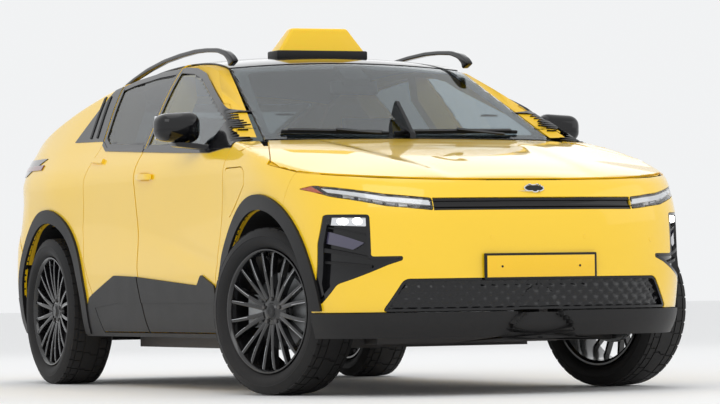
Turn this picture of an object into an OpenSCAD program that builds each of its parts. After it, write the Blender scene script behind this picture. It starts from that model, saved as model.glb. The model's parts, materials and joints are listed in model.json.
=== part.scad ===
// Five-door electric crossover taxi. X points to the car's left, Y to its rear, Z up.
// The origin is on the ground, midway between the bumpers.

/* [Body] */
// Length over the number plate and the rear bumper
car_len = 4520; // [3800:10:5400]
// Width of the body over the wheel arch trims
body_w = 1870; // [1560:10:2240]
// Height of the roof at its highest point
roof_z = 1558; // [1400:1:1860]
// Height of the lower edge of the sills
sill_z = 245; // [200:1:300]
// Width over the two door mirrors
mirror_w = 2126; // [1900:2:2600]

/* [Running gear] */
// Distance between the axles
wheelbase = 2750; // [2300:10:3300]
// Distance between the tyre centres of one axle
track = 1600; // [1360:5:1900]
// Outer diameter of the tyre
tyre_d = 720; // [600:1:760]
// Width of the tyre
tyre_w = 235; // [180:1:260]
// Diameter of the rim at its lip
rim_d = 544; // [460:1:580]
// Steering angle to the left at rest
rest_steer = 17.5; // [0:0.5:20]
// Radial room between the tyre and its arch
arch_room = 75; // [60:1:90]
// Radial width of the wheel arch trim
trim_w = 66; // [40:1:80]
// How far the wheel arch trim stands out
trim_t = 14; // [6:1:20]

/* [Panels] */
// Thickness of the outer panels
panel_t = 20; // [10:1:26]
// Thickness of a whole door below its window
door_t = 110; // [80:1:135]
// Thickness of the frame round a door window
frame_t = 30; // [18:1:34]
// Depth of the body side with its pillars and sill
side_t = 150; // [145:1:175]
// Thickness of the windows
glass_t = 5; // [3:0.5:8]
// Thickness of the tailgate
gate_t = 40; // [30:1:60]
// Gap round every panel that opens
gap = 5; // [5:0.5:8]
// Width of the black frame round a door window
frame_w = 30; // [20:1:45]
// Width by which a door laps over its pillars and sill
rebate = 40; // [25:1:50]

/* [Fittings] */
// Length of a number plate
plate_w = 520; // [460:1:540]
// Height of a number plate
plate_h = 110; // [100:1:130]
// Diameter of the steering wheel
wheel_d = 370; // [340:1:400]
// Width of the roof sign at its foot
sign_w = 456; // [300:1:600]
// Height of the roof sign
sign_h = 130; // [90:1:160]
// Width of a front seat
seat_w = 500; // [420:1:540]

/* [Hidden] */

// Clearance of pieces that rest on each other
seat_fit = 0.4;
// Overshoot of every cutting shape
cut = 30;
yellow = "gold";
axle_y = wheelbase / 2;
axle_z = tyre_d / 2;
overhang = (car_len - wheelbase) / 2;
arch_r = tyre_d / 2 + arch_room;
half_track = track / 2;

// The body's own stations are given for the standard body, whose front axle lies at
// -1375, nose at -2260, width 1870 and height 1558. These three functions place them.
function Y(v) = abs(v) <= 1375 ? v * wheelbase / 2750
  : sign(v) * (wheelbase / 2 + (abs(v) - 1375) * overhang / 885);
function X(v) = v * body_w / 1870;
function Z(v) = v < 560 ? v + (sill_z - 245) * (560 - v) / 315
  : 560 + (v - 560) * (roof_z - 560) / 998;
function yz(list) = [for (p = list) [Y(p[0]), Z(p[1])]];
function xz(list) = [for (p = list) [X(p[0]), Z(p[1])]];
function xy(list) = [for (p = list) [X(p[0]), Y(p[1])]];

// How far the nose and the tail lie back from the ends, at each height
nose_back = [[180, 70], [240, 44], [300, 20], [400, 12.4], [620, 12.4], [700, 16], [770, 22], [822, 42],
  [900, 85], [950, 150], [1000, 260]];
tail_back = [[180, 80], [300, 34], [450, 12.4], [640, 12.4], [700, 20], [760, 58], [900, 76],
  [1035, 60], [1120, 36], [1150, 50]];
// How long the rounding of the front and rear corners is, at each height
nose_len = [[750, 800], [950, 860]];
tail_len = [[240, 480], [750, 500], [950, 650], [1150, 700]];
// How far the side leans in from the widest line, at each height
side_in = [[180, 90], [245, 52], [300, 34], [420, 22], [520, 10], [640, 14], [780, 17],
  [900, 9], [985, 0], [1040, 14], [1100, 48], [1470, 255], [1560, 345], [1660, 440]];
// Height of the top of the body along its middle
top_line = [[-2300, 850], [-2175, 899], [-2100, 930], [-1900, 978], [-1691, 1015],
  [-1400, 1062], [-1200, 1092], [-964, 1118], [-249, 1509], [-100, 1536], [100, 1553],
  [350, 1558], [650, 1549], [1000, 1511], [1262, 1455], [1540, 1366], [1750, 1284],
  [1969, 1198], [2080, 1152], [2180, 1134], [2300, 1110]];
// How far the top drops towards its edge, and where that edge is
top_drop = [[-2175, 75], [-1691, 62], [-964, 4], [-249, 30], [400, 40], [1262, 40],
  [1969, 34], [2300, 60]];
top_edge = [[-2175, 867], [-1400, 850], [-964, 732], [-249, 581], [1262, 560],
  [1969, 700], [2300, 700]];

// Half width of the body at a station and height of the standard body
function arch_swell(y) = 12 * exp(-pow((abs(y) - 1375) / 330, 2));
function corner(s) = s >= 1 ? 1 : s <= 0 ? 0 : pow(1 - pow(1 - s, 3), 1 / 3);
function half_w(y, z) = (906 + arch_swell(y) - lookup(z, side_in))
  * corner((y + 2260 - lookup(z, nose_back)) / lookup(z, nose_len))
  * corner((2260 - lookup(z, tail_back) - y) / lookup(z, tail_len));
function top_z(x, y) = lookup(y, top_line)
  - lookup(y, top_drop) * pow(abs(x) / lookup(y, top_edge), 2);

// One level of the body, from the nose along the left side to the tail
nose_steps = [0, 3, 9, 18, 30, 44, 60, 76];
side_steps = [-1440, -1280, -1100, -940, -780, -600, -400, -200, 0, 200, 400, 600, 780,
  940, 1100, 1280, 1440, 1560];
tail_steps = [72, 56, 42, 30, 18, 9, 3, 0];
function level_ys(z) = let(n = -2260 + lookup(z, nose_back), nl = lookup(z, nose_len),
    t = 2260 - lookup(z, tail_back), tl = lookup(z, tail_len))
  concat([for (a = nose_steps) n + nl * (1 - pow(cos(a), 2 / 3))],
    [for (y = side_steps) max(y, n + nl) == y ? min(y, t - tl) : n + nl * 0.985],
    [for (a = tail_steps) t - tl * (1 - pow(cos(a), 2 / 3))]);
function half_level(z) = [for (y = level_ys(z)) [half_w(y, z), y]];
function level(z) = let(h = half_level(z), n = len(h)) concat(
  [for (p = h) [X(p[0]), Y(p[1])]],
  [for (i = [n - 2:-1:1]) [-X(h[i][0]), Y(h[i][1])]]);
// The same level, moved inwards by a distance
function inset(ring, d) = d == 0 ? ring : [for (i = [0:len(ring) - 1])
  let(n = len(ring), a = ring[(i + n - 1) % n], b = ring[(i + 1) % n],
    t = (b - a) / norm(b - a)) ring[i] + d * [-t[1], t[0]]];
levels = [180, 245, 300, 420, 520, 640, 780, 850, 900, 950, 985, 1040, 1100, 1190, 1285,
  1380, 1470, 1560, 1660];

module tower(rings) {
  n = len(rings[0]);
  m = len(rings);
  points = [for (r = rings) each r];
  walls = [for (j = [0:m - 2]) for (i = [0:n - 1]) each
    [[j * n + i, (j + 1) * n + i, (j + 1) * n + (i + 1) % n],
     [j * n + i, (j + 1) * n + (i + 1) % n, j * n + (i + 1) % n]]];
  polyhedron(points, concat(walls, [[for (i = [0:n - 1]) i]],
    [[for (i = [n - 1:-1:0]) (m - 1) * n + i]]), convexity = 6);
}

// Everything within the sides of the body, less a wall
module within_sides(wall) {
  reach = wall == 0 ? 0 : cut;
  tower([for (k = [0:len(levels) - 1])
    let(z = Z(levels[k]) + (k == 0 ? -reach : k == len(levels) - 1 ? reach : 0))
    [for (p = inset(level(levels[k]), wall)) [p[0], p[1], z]]]);
}

// Everything under the top of the body, less a wall
top_xs = [0, 140, 280, 420, 560, 640, 720, 800, 880, 980];
module under_top(wall) {
  xs = concat([for (i = [len(top_xs) - 1:-1:1]) -top_xs[i]], top_xs);
  ys = [for (p = top_line) p[0]];
  n = len(xs);
  m = len(ys);
  low = 100;
  function slope(y) = norm([1, (top_z(0, y + 20) - top_z(0, y - 20)) / 40]);
  points = concat(
    [for (y = ys) for (x = xs) [X(x), Y(y) * (abs(y) > 2200 ? 1.02 : 1), Z(top_z(x, y)) - wall * slope(y)]],
    [for (y = ys) for (x = xs) [X(x), Y(y) * (abs(y) > 2200 ? 1.02 : 1), low - wall]]);
  function at(k, j, i) = k * n * m + j * n + i;
  faces = concat(
    [for (j = [0:m - 2]) for (i = [0:n - 2]) each
      [[at(0, j, i), at(0, j + 1, i), at(0, j + 1, i + 1)],
       [at(0, j, i), at(0, j + 1, i + 1), at(0, j, i + 1)]]],
    [for (j = [0:m - 2]) for (i = [0:n - 2])
      [at(1, j, i), at(1, j, i + 1), at(1, j + 1, i + 1), at(1, j + 1, i)]],
    [for (i = [0:n - 2]) [at(0, 0, i), at(0, 0, i + 1), at(1, 0, i + 1), at(1, 0, i)]],
    [for (i = [0:n - 2]) [at(0, m - 1, i + 1), at(0, m - 1, i), at(1, m - 1, i), at(1, m - 1, i + 1)]],
    [for (j = [0:m - 2]) [at(0, j + 1, 0), at(0, j, 0), at(1, j, 0), at(1, j + 1, 0)]],
    [for (j = [0:m - 2]) [at(0, j, n - 1), at(0, j + 1, n - 1), at(1, j + 1, n - 1), at(1, j, n - 1)]]);
  polyhedron(points, faces, convexity = 6);
}

// The body as one block, and as a skin of a given thickness
module block(wall = 0, roof_wall = -1) {
  intersection() {
    within_sides(wall);
    under_top(roof_wall < 0 ? wall : roof_wall);
  }
}
module skin(from, to) {
  difference() {
    block(from);
    block(to);
  }
}

// One meshed piece that follows the body's curves
module panel() {
  resize([0, 0, 0]) children();
}

// The side wall of the body alone
module side_skin(from, to) {
  difference() {
    block(from, 0);
    within_sides(to);
  }
}

// Prisms along X, Y and Z over outlines seen from the side, the front and above
module side_prism(reach = 1300) {
  rotate([90, 0, 90]) linear_extrude(reach) children();
}
module end_prism(from, to) {
  translate([0, to, 0]) rotate([90, 0, 0]) linear_extrude(to - from) children();
}
module plan_prism() {
  translate([0, 0, 50]) linear_extrude(1900) children();
}
module both() {
  children();
  mirror([1, 0, 0]) children();
}

// Outlines seen from the side
window_band = [[-1120, 1100], [-740, 1070], [-300, 1087], [700, 1133], [816, 1176],
  [1204, 1185], [1040, 1437], [800, 1474], [500, 1496], [204, 1500], [40, 1488], [-128, 1455]];
front_door_line = [[-830, 262], [-830, 512], [-986, 1013], [-1000, 1066], [-1000, 1140],
  [-500, 1600], [262, 1600], [258, 1490], [146, 1110], [160, 964], [160, 560], [80, 262]];
rear_door_line = [[85, 262], [165, 560], [165, 964], [154, 1110], [267, 1490], [271, 1600],
  [962, 1600], [952, 1436], [790, 1160], [838, 1000], [866, 880], [905, 760], [895, 600],
  [790, 440], [700, 262]];
below_band = [[-3000, 0], [-3000, 1100], [-1120, 1100], [-740, 1070], [-300, 1087],
  [700, 1133], [816, 1176], [1204, 1185], [3000, 1185], [3000, 0]];
belt_cut = [[-3000, 0], [-3000, 1050], [-740, 1050], [700, 1113], [3000, 1113], [3000, 0]];
// Lower edge of the hood and the joint between fender and bumper
hood_drop = [[-2400, 872], [-2175, 899], [-1691, 948], [-1597, 965], [-1475, 987],
  [-1400, 1000]];
hood_line = concat(hood_drop, [[-1300, 1010], [-800, 1010], [-800, 1400], [-2400, 1400]]);
hood_plan = [[0, -2400], [1000, -2400], [1000, -1480], [888, -1475], [697, -985], [0, -985]];
bumper_line = [[-2400, 0], [-2400, 866], [-2175, 893], [-1700, 942], [-1690, 930],
  [-1600, 780], [-1600, 0]];
rear_bumper_line = [[1700, 200], [1700, 479], [1800, 640], [1905, 745], [2400, 765], [2400, 200]];
tail_lamp_line = [[1490, 1118], [2400, 1118], [2400, 1034], [1745, 1034]];
flap_line = [[-1235, 968], [-1205, 984], [-1010, 984], [-1000, 968], [-1000, 850],
  [-960, 780], [-1010, 770], [-1225, 905]];
// Outlines seen from the front and from behind
lamp_front = [[462, 770], [462, 822], [640, 842], [840, 884], [872, 872], [800, 832], [640, 790]];
bar_front = [[-458, 770], [-458, 822], [458, 822], [458, 770]];
corner_front = [[700, 756], [830, 760], [846, 640], [850, 470], [836, 384], [800, 470],
  [640, 548], [588, 566], [588, 582], [700, 582]];
grille_front = [[-583, 488], [583, 488], [662, 352], [-662, 352]];
tailgate_rear = [[-548, 772], [548, 772], [580, 1030], [584, 1128], [-584, 1128],
  [-580, 1030]];
tailgate_plan = [[0, 1266], [556, 1266], [600, 1420], [655, 1680], [690, 1980], [690, 2400],
  [0, 2400]];
rear_window = [[-470, 1196], [-520, 1400], [520, 1400], [470, 1196]];

gate_y = Y(1266);
screen_low_y = Y(-975);
screen_top_y = Y(-249);
// Edge between the roof or windscreen and the body side, seen from above
roof_plan = [[0, -1180], [795, -1180], [732, -966], [581, -249], [570, 0], [558, 1262],
  [0, 1262]];

module mirrored_plan(points) {
  polygon(xy(concat(points, [for (i = [len(points) - 1:-1:0]) [-points[i][0], points[i][1]]])));
}

module arch_cylinders(r) {
  for (y = [-axle_y, axle_y])
    translate([0, y, axle_z]) rotate([0, 90, 0]) cylinder(r = r, h = 1300, $fn = 72);
  for (y = [-axle_y, axle_y])
    translate([0, y - r, 0]) cube([1300, 2 * r, axle_z]);
}

// Everything below the upper edge of the windows
module below_roof_edge() {
  polygon(yz(window_band));
  polygon(yz(below_band));
}
module door_outline(line) {
  intersection() {
    polygon(yz(line));
    below_roof_edge();
  }
}

// Strips behind each door, into which its rear edge swings
post_strips = [[[60, 262], [200, 262], [200, 1100], [290, 1500], [240, 1500], [120, 1100]],
  [[930, 1480], [780, 1160], [800, 1160], [974, 1430], [974, 1480]]];

// Openings for the doors: a shallow rebate all round, then the way through
module door_cuts() {
  difference() {
    side_prism() offset(delta = gap) intersection() {
      union() {
        polygon(yz(front_door_line));
        polygon(yz(rear_door_line));
        for (strip = post_strips) polygon(yz(strip));
      }
      below_roof_edge();
    }
    within_sides(frame_t + gap);
  }
  for (line = [front_door_line, rear_door_line])
    side_prism() offset(delta = gap - rebate) door_outline(line);
}

// Inset of a door's thick part, so that it swings clear of the flange
swing_room = 10;
module door(line) {
  // outer skin with its window frame
  difference() {
    intersection() {
      side_skin(0, frame_t);
      side_prism() door_outline(line);
    }
    side_prism() window_hole(line, 0);
  }
  // thick lower part, which fills the opening behind the flange
  intersection() {
    side_skin(frame_t - 1, door_t);
    side_prism() offset(delta = -rebate - swing_room) intersection() {
      polygon(yz(line));
      polygon(yz(belt_cut));
    }
  }
}

module window_hole(line, less) {
  offset(delta = -frame_w - less) intersection() {
    polygon(yz(line));
    polygon(yz(window_band));
  }
}

module door_window(line) {
  intersection() {
    side_skin(8, 8 + glass_t);
    side_prism() window_hole(line, seat_fit);
  }
}

// Pads on the pillars that the closed doors rest against
module door_pads() {
  for (y = [142, 883]) intersection() {
    side_skin(frame_t + 0.3, frame_t + gap + 8);
    side_prism() translate([Y(y), Z(700)]) square([20, 60], center = true);
  }
}

// Outlines of the fender and of the body side behind it
fender_line = [[-1830, 300], [-835, 300], [-835, 512], [-991, 1013], [-1005, 1052],
  [-1174, 1057], [-1174, 1300], [-1830, 1300]];
body_side_line = [[-1004, 245], [-1004, 1040], [-1170, 1062], [-1170, 1700], [2400, 1700],
  [2400, 772], [1900, 752], [1790, 645], [1640, 479], [1640, 245]];

module body_sides() {
  color(yellow) panel() both() {
    difference() {
      intersection() {
        difference() {
          block(0);
          block(side_t, 52);
        }
        side_prism() polygon(yz(body_side_line));
      }
      plan_prism() offset(delta = seat_fit) mirrored_plan(roof_plan);
      tailgate_volume(gap);
      end_prism(Y(1990) - gap, car_len) polygon(xz([[-553, 700], [553, 700], [553, 800], [-553, 800]]));
      door_cuts();
      difference() {
        side_prism() offset(delta = seat_fit) polygon(yz(fender_line));
        within_sides(panel_t + seat_fit);
      }
      arch_cylinders(arch_r);
      intersection() {
        arch_cylinders(arch_r + 12);
        within_sides(panel_t + 1.6);
      }
      side_prism() offset(delta = seat_fit) polygon(yz(tail_lamp_line));
    }
    door_pads();
  }
}

module roof_panel() {
  color("black") panel() intersection() {
    block(0);
    difference() {
      block(0);
      block(0, 30);
    }
    plan_prism() mirrored_plan(roof_plan);
    plan_prism() translate([-1000, screen_top_y]) square([2000, gate_y - gap - screen_top_y]);
  }
}

module windscreen() {
  color("slategray", 0.4) panel() intersection() {
    difference() {
      block(0, 1);
      block(0, 1 + glass_t);
    }
    plan_prism() mirrored_plan(roof_plan);
    plan_prism() translate([-1000, screen_low_y])
      square([2000, screen_top_y - seat_fit - screen_low_y]);
  }
}

module bulkhead() {
  wall_y = Y(-925);
  color("dimgray") {
    panel() intersection() {
      within_sides(side_t + seat_fit);
      translate([-X(800), wall_y, Z(320)]) cube([X(1600), 16, Z(1060) - Z(320)]);
    }
    // cowl under the foot of the windscreen
    panel() difference() {
      intersection() {
        block(0, 8 + glass_t);
        plan_prism() translate([-X(690), Y(-978)]) square([X(1380), wall_y + 16 - Y(-978)]);
      }
      block(0, 60);
    }
    translate([-X(690), Y(-978), Z(1040)]) cube([X(1380), wall_y + 4 - Y(-978), 12]);
    // stops that the closed hood rests on
    panel() both() intersection() {
      block(panel_t + 1);
      translate([X(480), Y(-1020), Z(1040)]) cube([X(40), 44, 200]);
    }
  }
}

module hood_shape(more) {
  intersection() {
    side_prism(2600) offset(delta = more) polygon(yz(hood_line));
    translate([1300, 0, 0]) plan_prism() offset(delta = more) mirrored_plan(hood_plan);
  }
}

module hood_volume(more = 0) {
  translate([-1300, 0, 0]) hood_shape(more);
}

module hood() {
  color(yellow) panel() intersection() {
    skin(0, panel_t);
    hood_volume();
  }
}

// Depth of the pocket behind the charge flap, and the flap's own thickness
pocket_t = 13;
flap_t = 8;
module front_fenders() {
  color(yellow) panel() difference() {
    both() difference() {
      intersection() {
        skin(0, panel_t);
        side_prism() polygon(yz(fender_line));
      }
      side_prism() offset(delta = seat_fit) polygon(yz(bumper_line));
      hood_volume(gap);
      arch_cylinders(arch_r);
      translate([0, Y(-1170) - 1, 0]) cube([X(690), 400, 2000]);
    }
    // pocket for the charge flap, with the pad that it rests on
    mirror([1, 0, 0]) difference() {
      side_prism() offset(delta = gap) polygon(yz(flap_line));
      within_sides(pocket_t);
      intersection() {
        within_sides(flap_t + 0.3);
        side_prism() translate([Y(-1030), Z(900)]) square([16, 40], center = true);
      }
    }
  }
}

module front_skin(from, to) {
  difference() {
    skin(from, to);
    hood_volume(gap);
  }
}

module front_shape(points, more = 0) {
  end_prism(-car_len, Y(-1500)) offset(delta = more) polygon(xz(points));
}

module front_bumper() {
  color(yellow) panel() difference() {
    intersection() {
      front_skin(0, panel_t);
      translate([-1300, 0, 0]) side_prism(2600) polygon(yz(bumper_line));
      front_shape([[-1000, 352], [-1000, 1000], [1000, 1000], [1000, 352]]);
    }
    both() arch_cylinders(arch_r);
    both() front_shape(lamp_front, seat_fit);
    front_shape(bar_front, seat_fit);
    both() front_shape(corner_front, seat_fit);
    front_shape(grille_front, seat_fit);
  }
}

module front_valance() {
  color("black") panel() difference() {
    intersection() {
      skin(0, panel_t);
      translate([-1300, 0, 0]) side_prism(2600) polygon(yz(bumper_line));
      front_shape([[-1000, 245], [-1000, 351.5], [1000, 351.5], [1000, 245]]);
    }
    both() arch_cylinders(arch_r);
  }
}

module lower_grille() {
  color("black") panel() intersection() {
    skin(6, panel_t);
    front_shape(grille_front);
  }
}

module headlamps() {
  color("dimgray") panel() both() intersection() {
    front_skin(1, 70);
    front_shape(lamp_front);
    side_prism() polygon(yz(bumper_line));
  }
}

module grille_bar() {
  color("black") panel() intersection() {
    skin(2, panel_t);
    front_shape(bar_front);
  }
}

module corner_lamps() {
  color("black") panel() both() difference() {
    intersection() {
      skin(4, 60);
      front_shape(corner_front);
      side_prism() polygon(yz(bumper_line));
    }
    arch_cylinders(arch_r + 14);
  }
}

module rear_bumper() {
  color(yellow) panel() difference() {
    intersection() {
      skin(0, panel_t);
      translate([-1300, 0, 0]) side_prism(2600) polygon(yz(rear_bumper_line));
      plan_prism() translate([-1300, Y(1640)]) square([2600, car_len]);
    }
    both() arch_cylinders(arch_r);
  }
}

module tail_lamps() {
  color("darkred") panel() both() difference() {
    intersection() {
      skin(0, 80);
      side_prism() polygon(yz(tail_lamp_line));
    }
    tailgate_volume(gap);
  }
}

// The tailgate is cut out from above round its window, and from behind below that
module tailgate_volume(more = 0) {
  intersection() {
    plan_prism() offset(delta = more) mirrored_plan(tailgate_plan);
    translate([-1000, 0, Z(1124) - more]) cube([2000, car_len, 1000]);
  }
  end_prism(Y(1990) - more, car_len) offset(delta = more) polygon(xz(tailgate_rear));
}

module tailgate() {
  color(yellow) panel() difference() {
    intersection() {
      skin(0, gate_t);
      tailgate_volume();
    }
    end_prism(gate_y, Y(2060)) polygon(xz(rear_window));
  }
}

module tailgate_glass() {
  color("slategray", 0.4) panel() intersection() {
    difference() {
      block(0, 2);
      block(0, 2 + glass_t);
    }
    end_prism(gate_y, Y(2060)) offset(delta = -seat_fit) polygon(xz(rear_window));
  }
}

// Rails that arch over the roof's edges
rail_top = [[-368, 1494], [-330, 1524], [-270, 1549], [-167, 1569], [-20, 1578], [126, 1581],
  [320, 1574], [530, 1559], [760, 1530], [960, 1492], [1100, 1458], [1180, 1430]];
rail_low = [[1080, 1420], [1040, 1446], [930, 1476], [740, 1506], [530, 1532], [320, 1547],
  [126, 1553], [-20, 1550], [-150, 1540], [-215, 1520], [-240, 1460]];
module roof_rails() {
  color("black") panel() both() difference() {
    translate([X(574), 0, 0]) side_prism(36) polygon(yz(concat(rail_top, rail_low)));
    block(-0.3);
  }
}

sign_foot_z = Z(top_z(0, 66)) + 2;
module taxi_sign() {
  y = Y(74);
  depth = 120;
  color(yellow) panel() difference() {
    union() {
      translate([0, y, sign_foot_z]) hull() {
        translate([0, 0, 8]) cube([sign_w, depth, 16], center = true);
        translate([0, 0, sign_h - 14]) rotate([90, 0, 0])
          linear_extrude(depth * 0.46, center = true) offset(r = 12, $fn = 24)
            square([sign_w * 0.6 - 24, 4], center = true);
      }
      translate([0, y, sign_foot_z - 10]) cube([sign_w + 10, depth + 12, 20], center = true);
    }
    block(-0.3);
  }
}

// Faces of the bumpers behind the plates
plate_back = Y(-2260 + 12.4);
module number_plates() {
  color(yellow) {
    translate([-plate_w / 2, -car_len / 2, Z(479)])
      cube([plate_w, plate_back - seat_fit + car_len / 2, plate_h]);
    translate([-plate_w / 2, seat_fit - plate_back, Z(500)])
      cube([plate_w, plate_back - seat_fit + car_len / 2, plate_h]);
  }
}

module arch_trims() {
  color("dimgray") panel() both() difference() {
    intersection() {
      difference() {
        block(-trim_t);
        block(-0.4);
      }
      arch_cylinders(arch_r + trim_w);
      translate([0, -car_len, sill_z + 8]) cube([1300, 2 * car_len, 1000]);
    }
    arch_cylinders(arch_r);
  }
}

module liner(y, inner_x) {
  intersection() {
    block(panel_t + 2);
    difference() {
      translate([inner_x, y, axle_z]) rotate([0, 90, 0])
        cylinder(r = arch_r + 10, h = 500, $fn = 72);
      translate([inner_x + 8, y, axle_z]) rotate([0, 90, 0])
        cylinder(r = arch_r + 1, h = 500, $fn = 72);
      translate([0, y - 800, 0]) cube([1300, 1600, axle_z - 20]);
      translate([inner_x - 10, y - 150, 0]) cube([200, 300, axle_z + arch_r + 20]);
    }
  }
}

module wheel_liners() {
  color("black") panel() both() {
    liner(-axle_y, half_track - tyre_w - 95);
    liner(axle_y, half_track - tyre_w / 2 - 30);
  }
}

floor_low = Z(300);
floor_t = 19;
floor_top = floor_low + floor_t;
boot_top = Z(560) + 16;
module floor_pan() {
  half = X(half_w(0, 300)) - side_t - seat_fit;
  color("gray") {
    translate([-half, Y(-925), floor_low]) cube([2 * half, Y(915) - Y(-925), floor_t]);
    // riser under the rear seat and the raised load floor
    translate([-X(600), Y(903), floor_low]) cube([X(1200), 14, boot_top - floor_low]);
    translate([-X(600), Y(903), Z(560)]) cube([X(1200), Y(2140) - Y(903), 16]);
    // front rails and the beam that carries the nose
    both() translate([X(330), Y(-2140), Z(420)]) cube([70, Y(-925) - Y(-2140) - seat_fit, 110]);
    translate([-X(420), Y(-2170), Z(420)]) cube([X(840), 40, 110]);
    panel() {
      // hood latch and lock panel, which the closed lids rest on
      intersection() {
        block(panel_t + 0.3);
        translate([-40, Y(-2130) - 20, Z(420)]) cube([80, 50, 900]);
      }
      intersection() {
        block(gate_t + 0.3);
        translate([-X(470), Y(2110), Z(565)]) cube([X(940), 400, Z(860) - Z(565)]);
      }
    }
  }
}

module battery_pack() {
  color("darkslategray") translate([-X(620), Y(-860), Z(300) - 115])
    cube([X(1240), Y(860) - Y(-860), 114.6]);
}

module drive_motor() {
  color("silver") translate([-X(230), -axle_y - 150, axle_z - 104 + seat_fit])
    cube([X(460), 300, 330]);
}

ball_x = half_track - 40;
module front_suspension() {
  color("dimgray") {
    translate([-X(430), -axle_y - 160, axle_z - 150]) cube([X(860), 320, 46]);
    both() {
      // lower and upper arms, and the spring strut between arm and tower
      translate([X(420), -axle_y - 25, axle_z - 150]) cube([ball_x + 12 - X(420), 50, 30]);
      translate([half_track - 250, -axle_y, axle_z - 125]) cylinder(r = 42, h = 590, $fn = 32);
      translate([X(400), -axle_y - 25, axle_z + 130]) cube([ball_x + 12 - X(400), 50, 26]);
      translate([X(402), -axle_y - 50, axle_z - 110]) cube([40, 100, 270]);
    }
  }
}

// Half thickness of the brake disc, and its radius
disc_half = 12;
disc_r = 165;
// A brake caliper that straddles the disc of a wheel centred on the origin
module caliper() {
  difference() {
    translate([-45, 92, -70]) cube([85, 98, 140]);
    translate([-disc_half - 5, 0, 0]) rotate([0, 90, 0])
      cylinder(r = disc_r + 5, h = 2 * disc_half + 10, $fn = 64);
  }
}

// Stub axle that ends against the disc
module stub_axle(length) {
  translate([-disc_half - 0.3 - length, 0, 0]) rotate([0, 90, 0])
    cylinder(r = 46, h = length, $fn = 48);
}

module knuckle() {
  // upright on the steering axis, stub axle and brake caliper
  offset_x = half_track - ball_x;
  translate([0, 0, axle_z - 119.7]) cylinder(r = 24, h = 249.4, $fn = 40);
  translate([offset_x, 0, axle_z]) {
    stub_axle(offset_x - disc_half + 20);
    caliper();
  }
  translate([-18, 0, axle_z - 40]) cube([30, 100, 80]);
}

module knuckle_left() {
  color("silver") translate([ball_x, -axle_y, 0]) rotate([0, 0, rest_steer]) knuckle();
}
module knuckle_right() {
  color("silver") translate([-ball_x, -axle_y, 0]) rotate([0, 0, rest_steer])
    mirror([1, 0, 0]) knuckle();
}

module rear_suspension() {
  color("dimgray") {
    translate([-X(480), axle_y - 60, axle_z - 110]) cube([X(960), 120, 70]);
    both() {
      translate([X(470), axle_y - 35, axle_z - 100]) cube([half_track - 70 - X(470), 70, 40]);
      translate([half_track - 110, axle_y - 45, axle_z - 110]) cube([40, 90, 200]);
      translate([half_track, axle_y, axle_z]) {
        stub_axle(70);
        caliper();
        translate([-80, -45, -70]) cube([50, 150, 50]);
      }
      translate([half_track - 250, axle_y, axle_z - 70]) 
        cylinder(r = 42, h = Z(560) - axle_z + 70 - seat_fit, $fn = 32);
    }
  }
}

// A tyre about the X axis, centred on its own middle plane
module tyre() {
  r = tyre_d / 2;
  b = rim_d / 2 - 18;
  w = tyre_w / 2;
  rotate([0, 90, 0]) rotate_extrude($fn = 96) polygon([[b, -w + 16], [b + 30, -w], [r - 60, -w],
    [r - 18, -w + 9], [r, -w + 26], [r, w - 26], [r - 18, w - 9], [r - 60, w], [b + 30, w],
    [b, w - 16]]);
}

// A rim about the X axis, with its outer face towards +X
spoke_count = 10;
module rim() {
  b = rim_d / 2 - 18 - seat_fit;
  w = tyre_w / 2 - 17;
  face = tyre_w / 2 - 45;
  rotate([0, 90, 0]) {
    rotate_extrude($fn = 96) polygon([[b - 14, -w], [b, -w], [b, w], [b - 10, w], [b - 16, face - 20],
      [b - 14, face - 40]]);
    translate([0, 0, face - 35]) cylinder(r = 82, h = 36, $fn = 48);
    for (i = [0:spoke_count - 1]) rotate([0, 0, i * 360 / spoke_count])
      translate([60, -11, face - 30]) cube([b - 70, 22, 26]);
    // brake disc and its bell
    translate([0, 0, -disc_half]) cylinder(r = disc_r, h = 2 * disc_half, $fn = 64);
    translate([0, 0, disc_half - 1]) cylinder(r = 84, h = face - 34 - disc_half, $fn = 48);
  }
}

module front_place(side) {
  translate([side * ball_x, -axle_y, 0]) rotate([0, 0, rest_steer])
    translate([side * (half_track - ball_x), 0, axle_z]) rotate([0, 0, side > 0 ? 0 : 180]) children();
}
module rear_place(side) {
  translate([side * half_track, axle_y, axle_z]) rotate([0, 0, side > 0 ? 0 : 180]) children();
}
module tyre_front_left() { color("black") front_place(1) tyre(); }
module tyre_front_right() { color("black") front_place(-1) tyre(); }
module tyre_rear_left() { color("black") rear_place(1) tyre(); }
module tyre_rear_right() { color("black") rear_place(-1) tyre(); }
module rim_front_left() { color("dimgray") front_place(1) rim(); }
module rim_front_right() { color("dimgray") front_place(-1) rim(); }
module rim_rear_left() { color("dimgray") rear_place(1) rim(); }
module rim_rear_right() { color("dimgray") rear_place(-1) rim(); }

seat_x = X(370);
module dashboard() {
  back = Y(-925) + 16 + seat_fit;
  color("dimgray") {
    translate([-X(690), 0, 0]) side_prism(X(1380)) polygon(concat(
      [[back, Z(800)], [back, Z(1045)]],
      yz([[-800, 1050], [-650, 1000], [-630, 930], [-700, 800]])));
    translate([-X(110), Y(-700), Z(319.5)]) cube([X(220), Y(-250) - Y(-700), Z(620) - Z(319.5)]);
    translate([-X(110), Y(-720), Z(319.5)]) cube([X(220), 60, Z(820) - Z(319.5)]);
    // steering column
    translate([seat_x, Y(-640), Z(890)]) rotate([-68, 0, 0]) cylinder(r = 34, h = 72, $fn = 40);
  }
}

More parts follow.
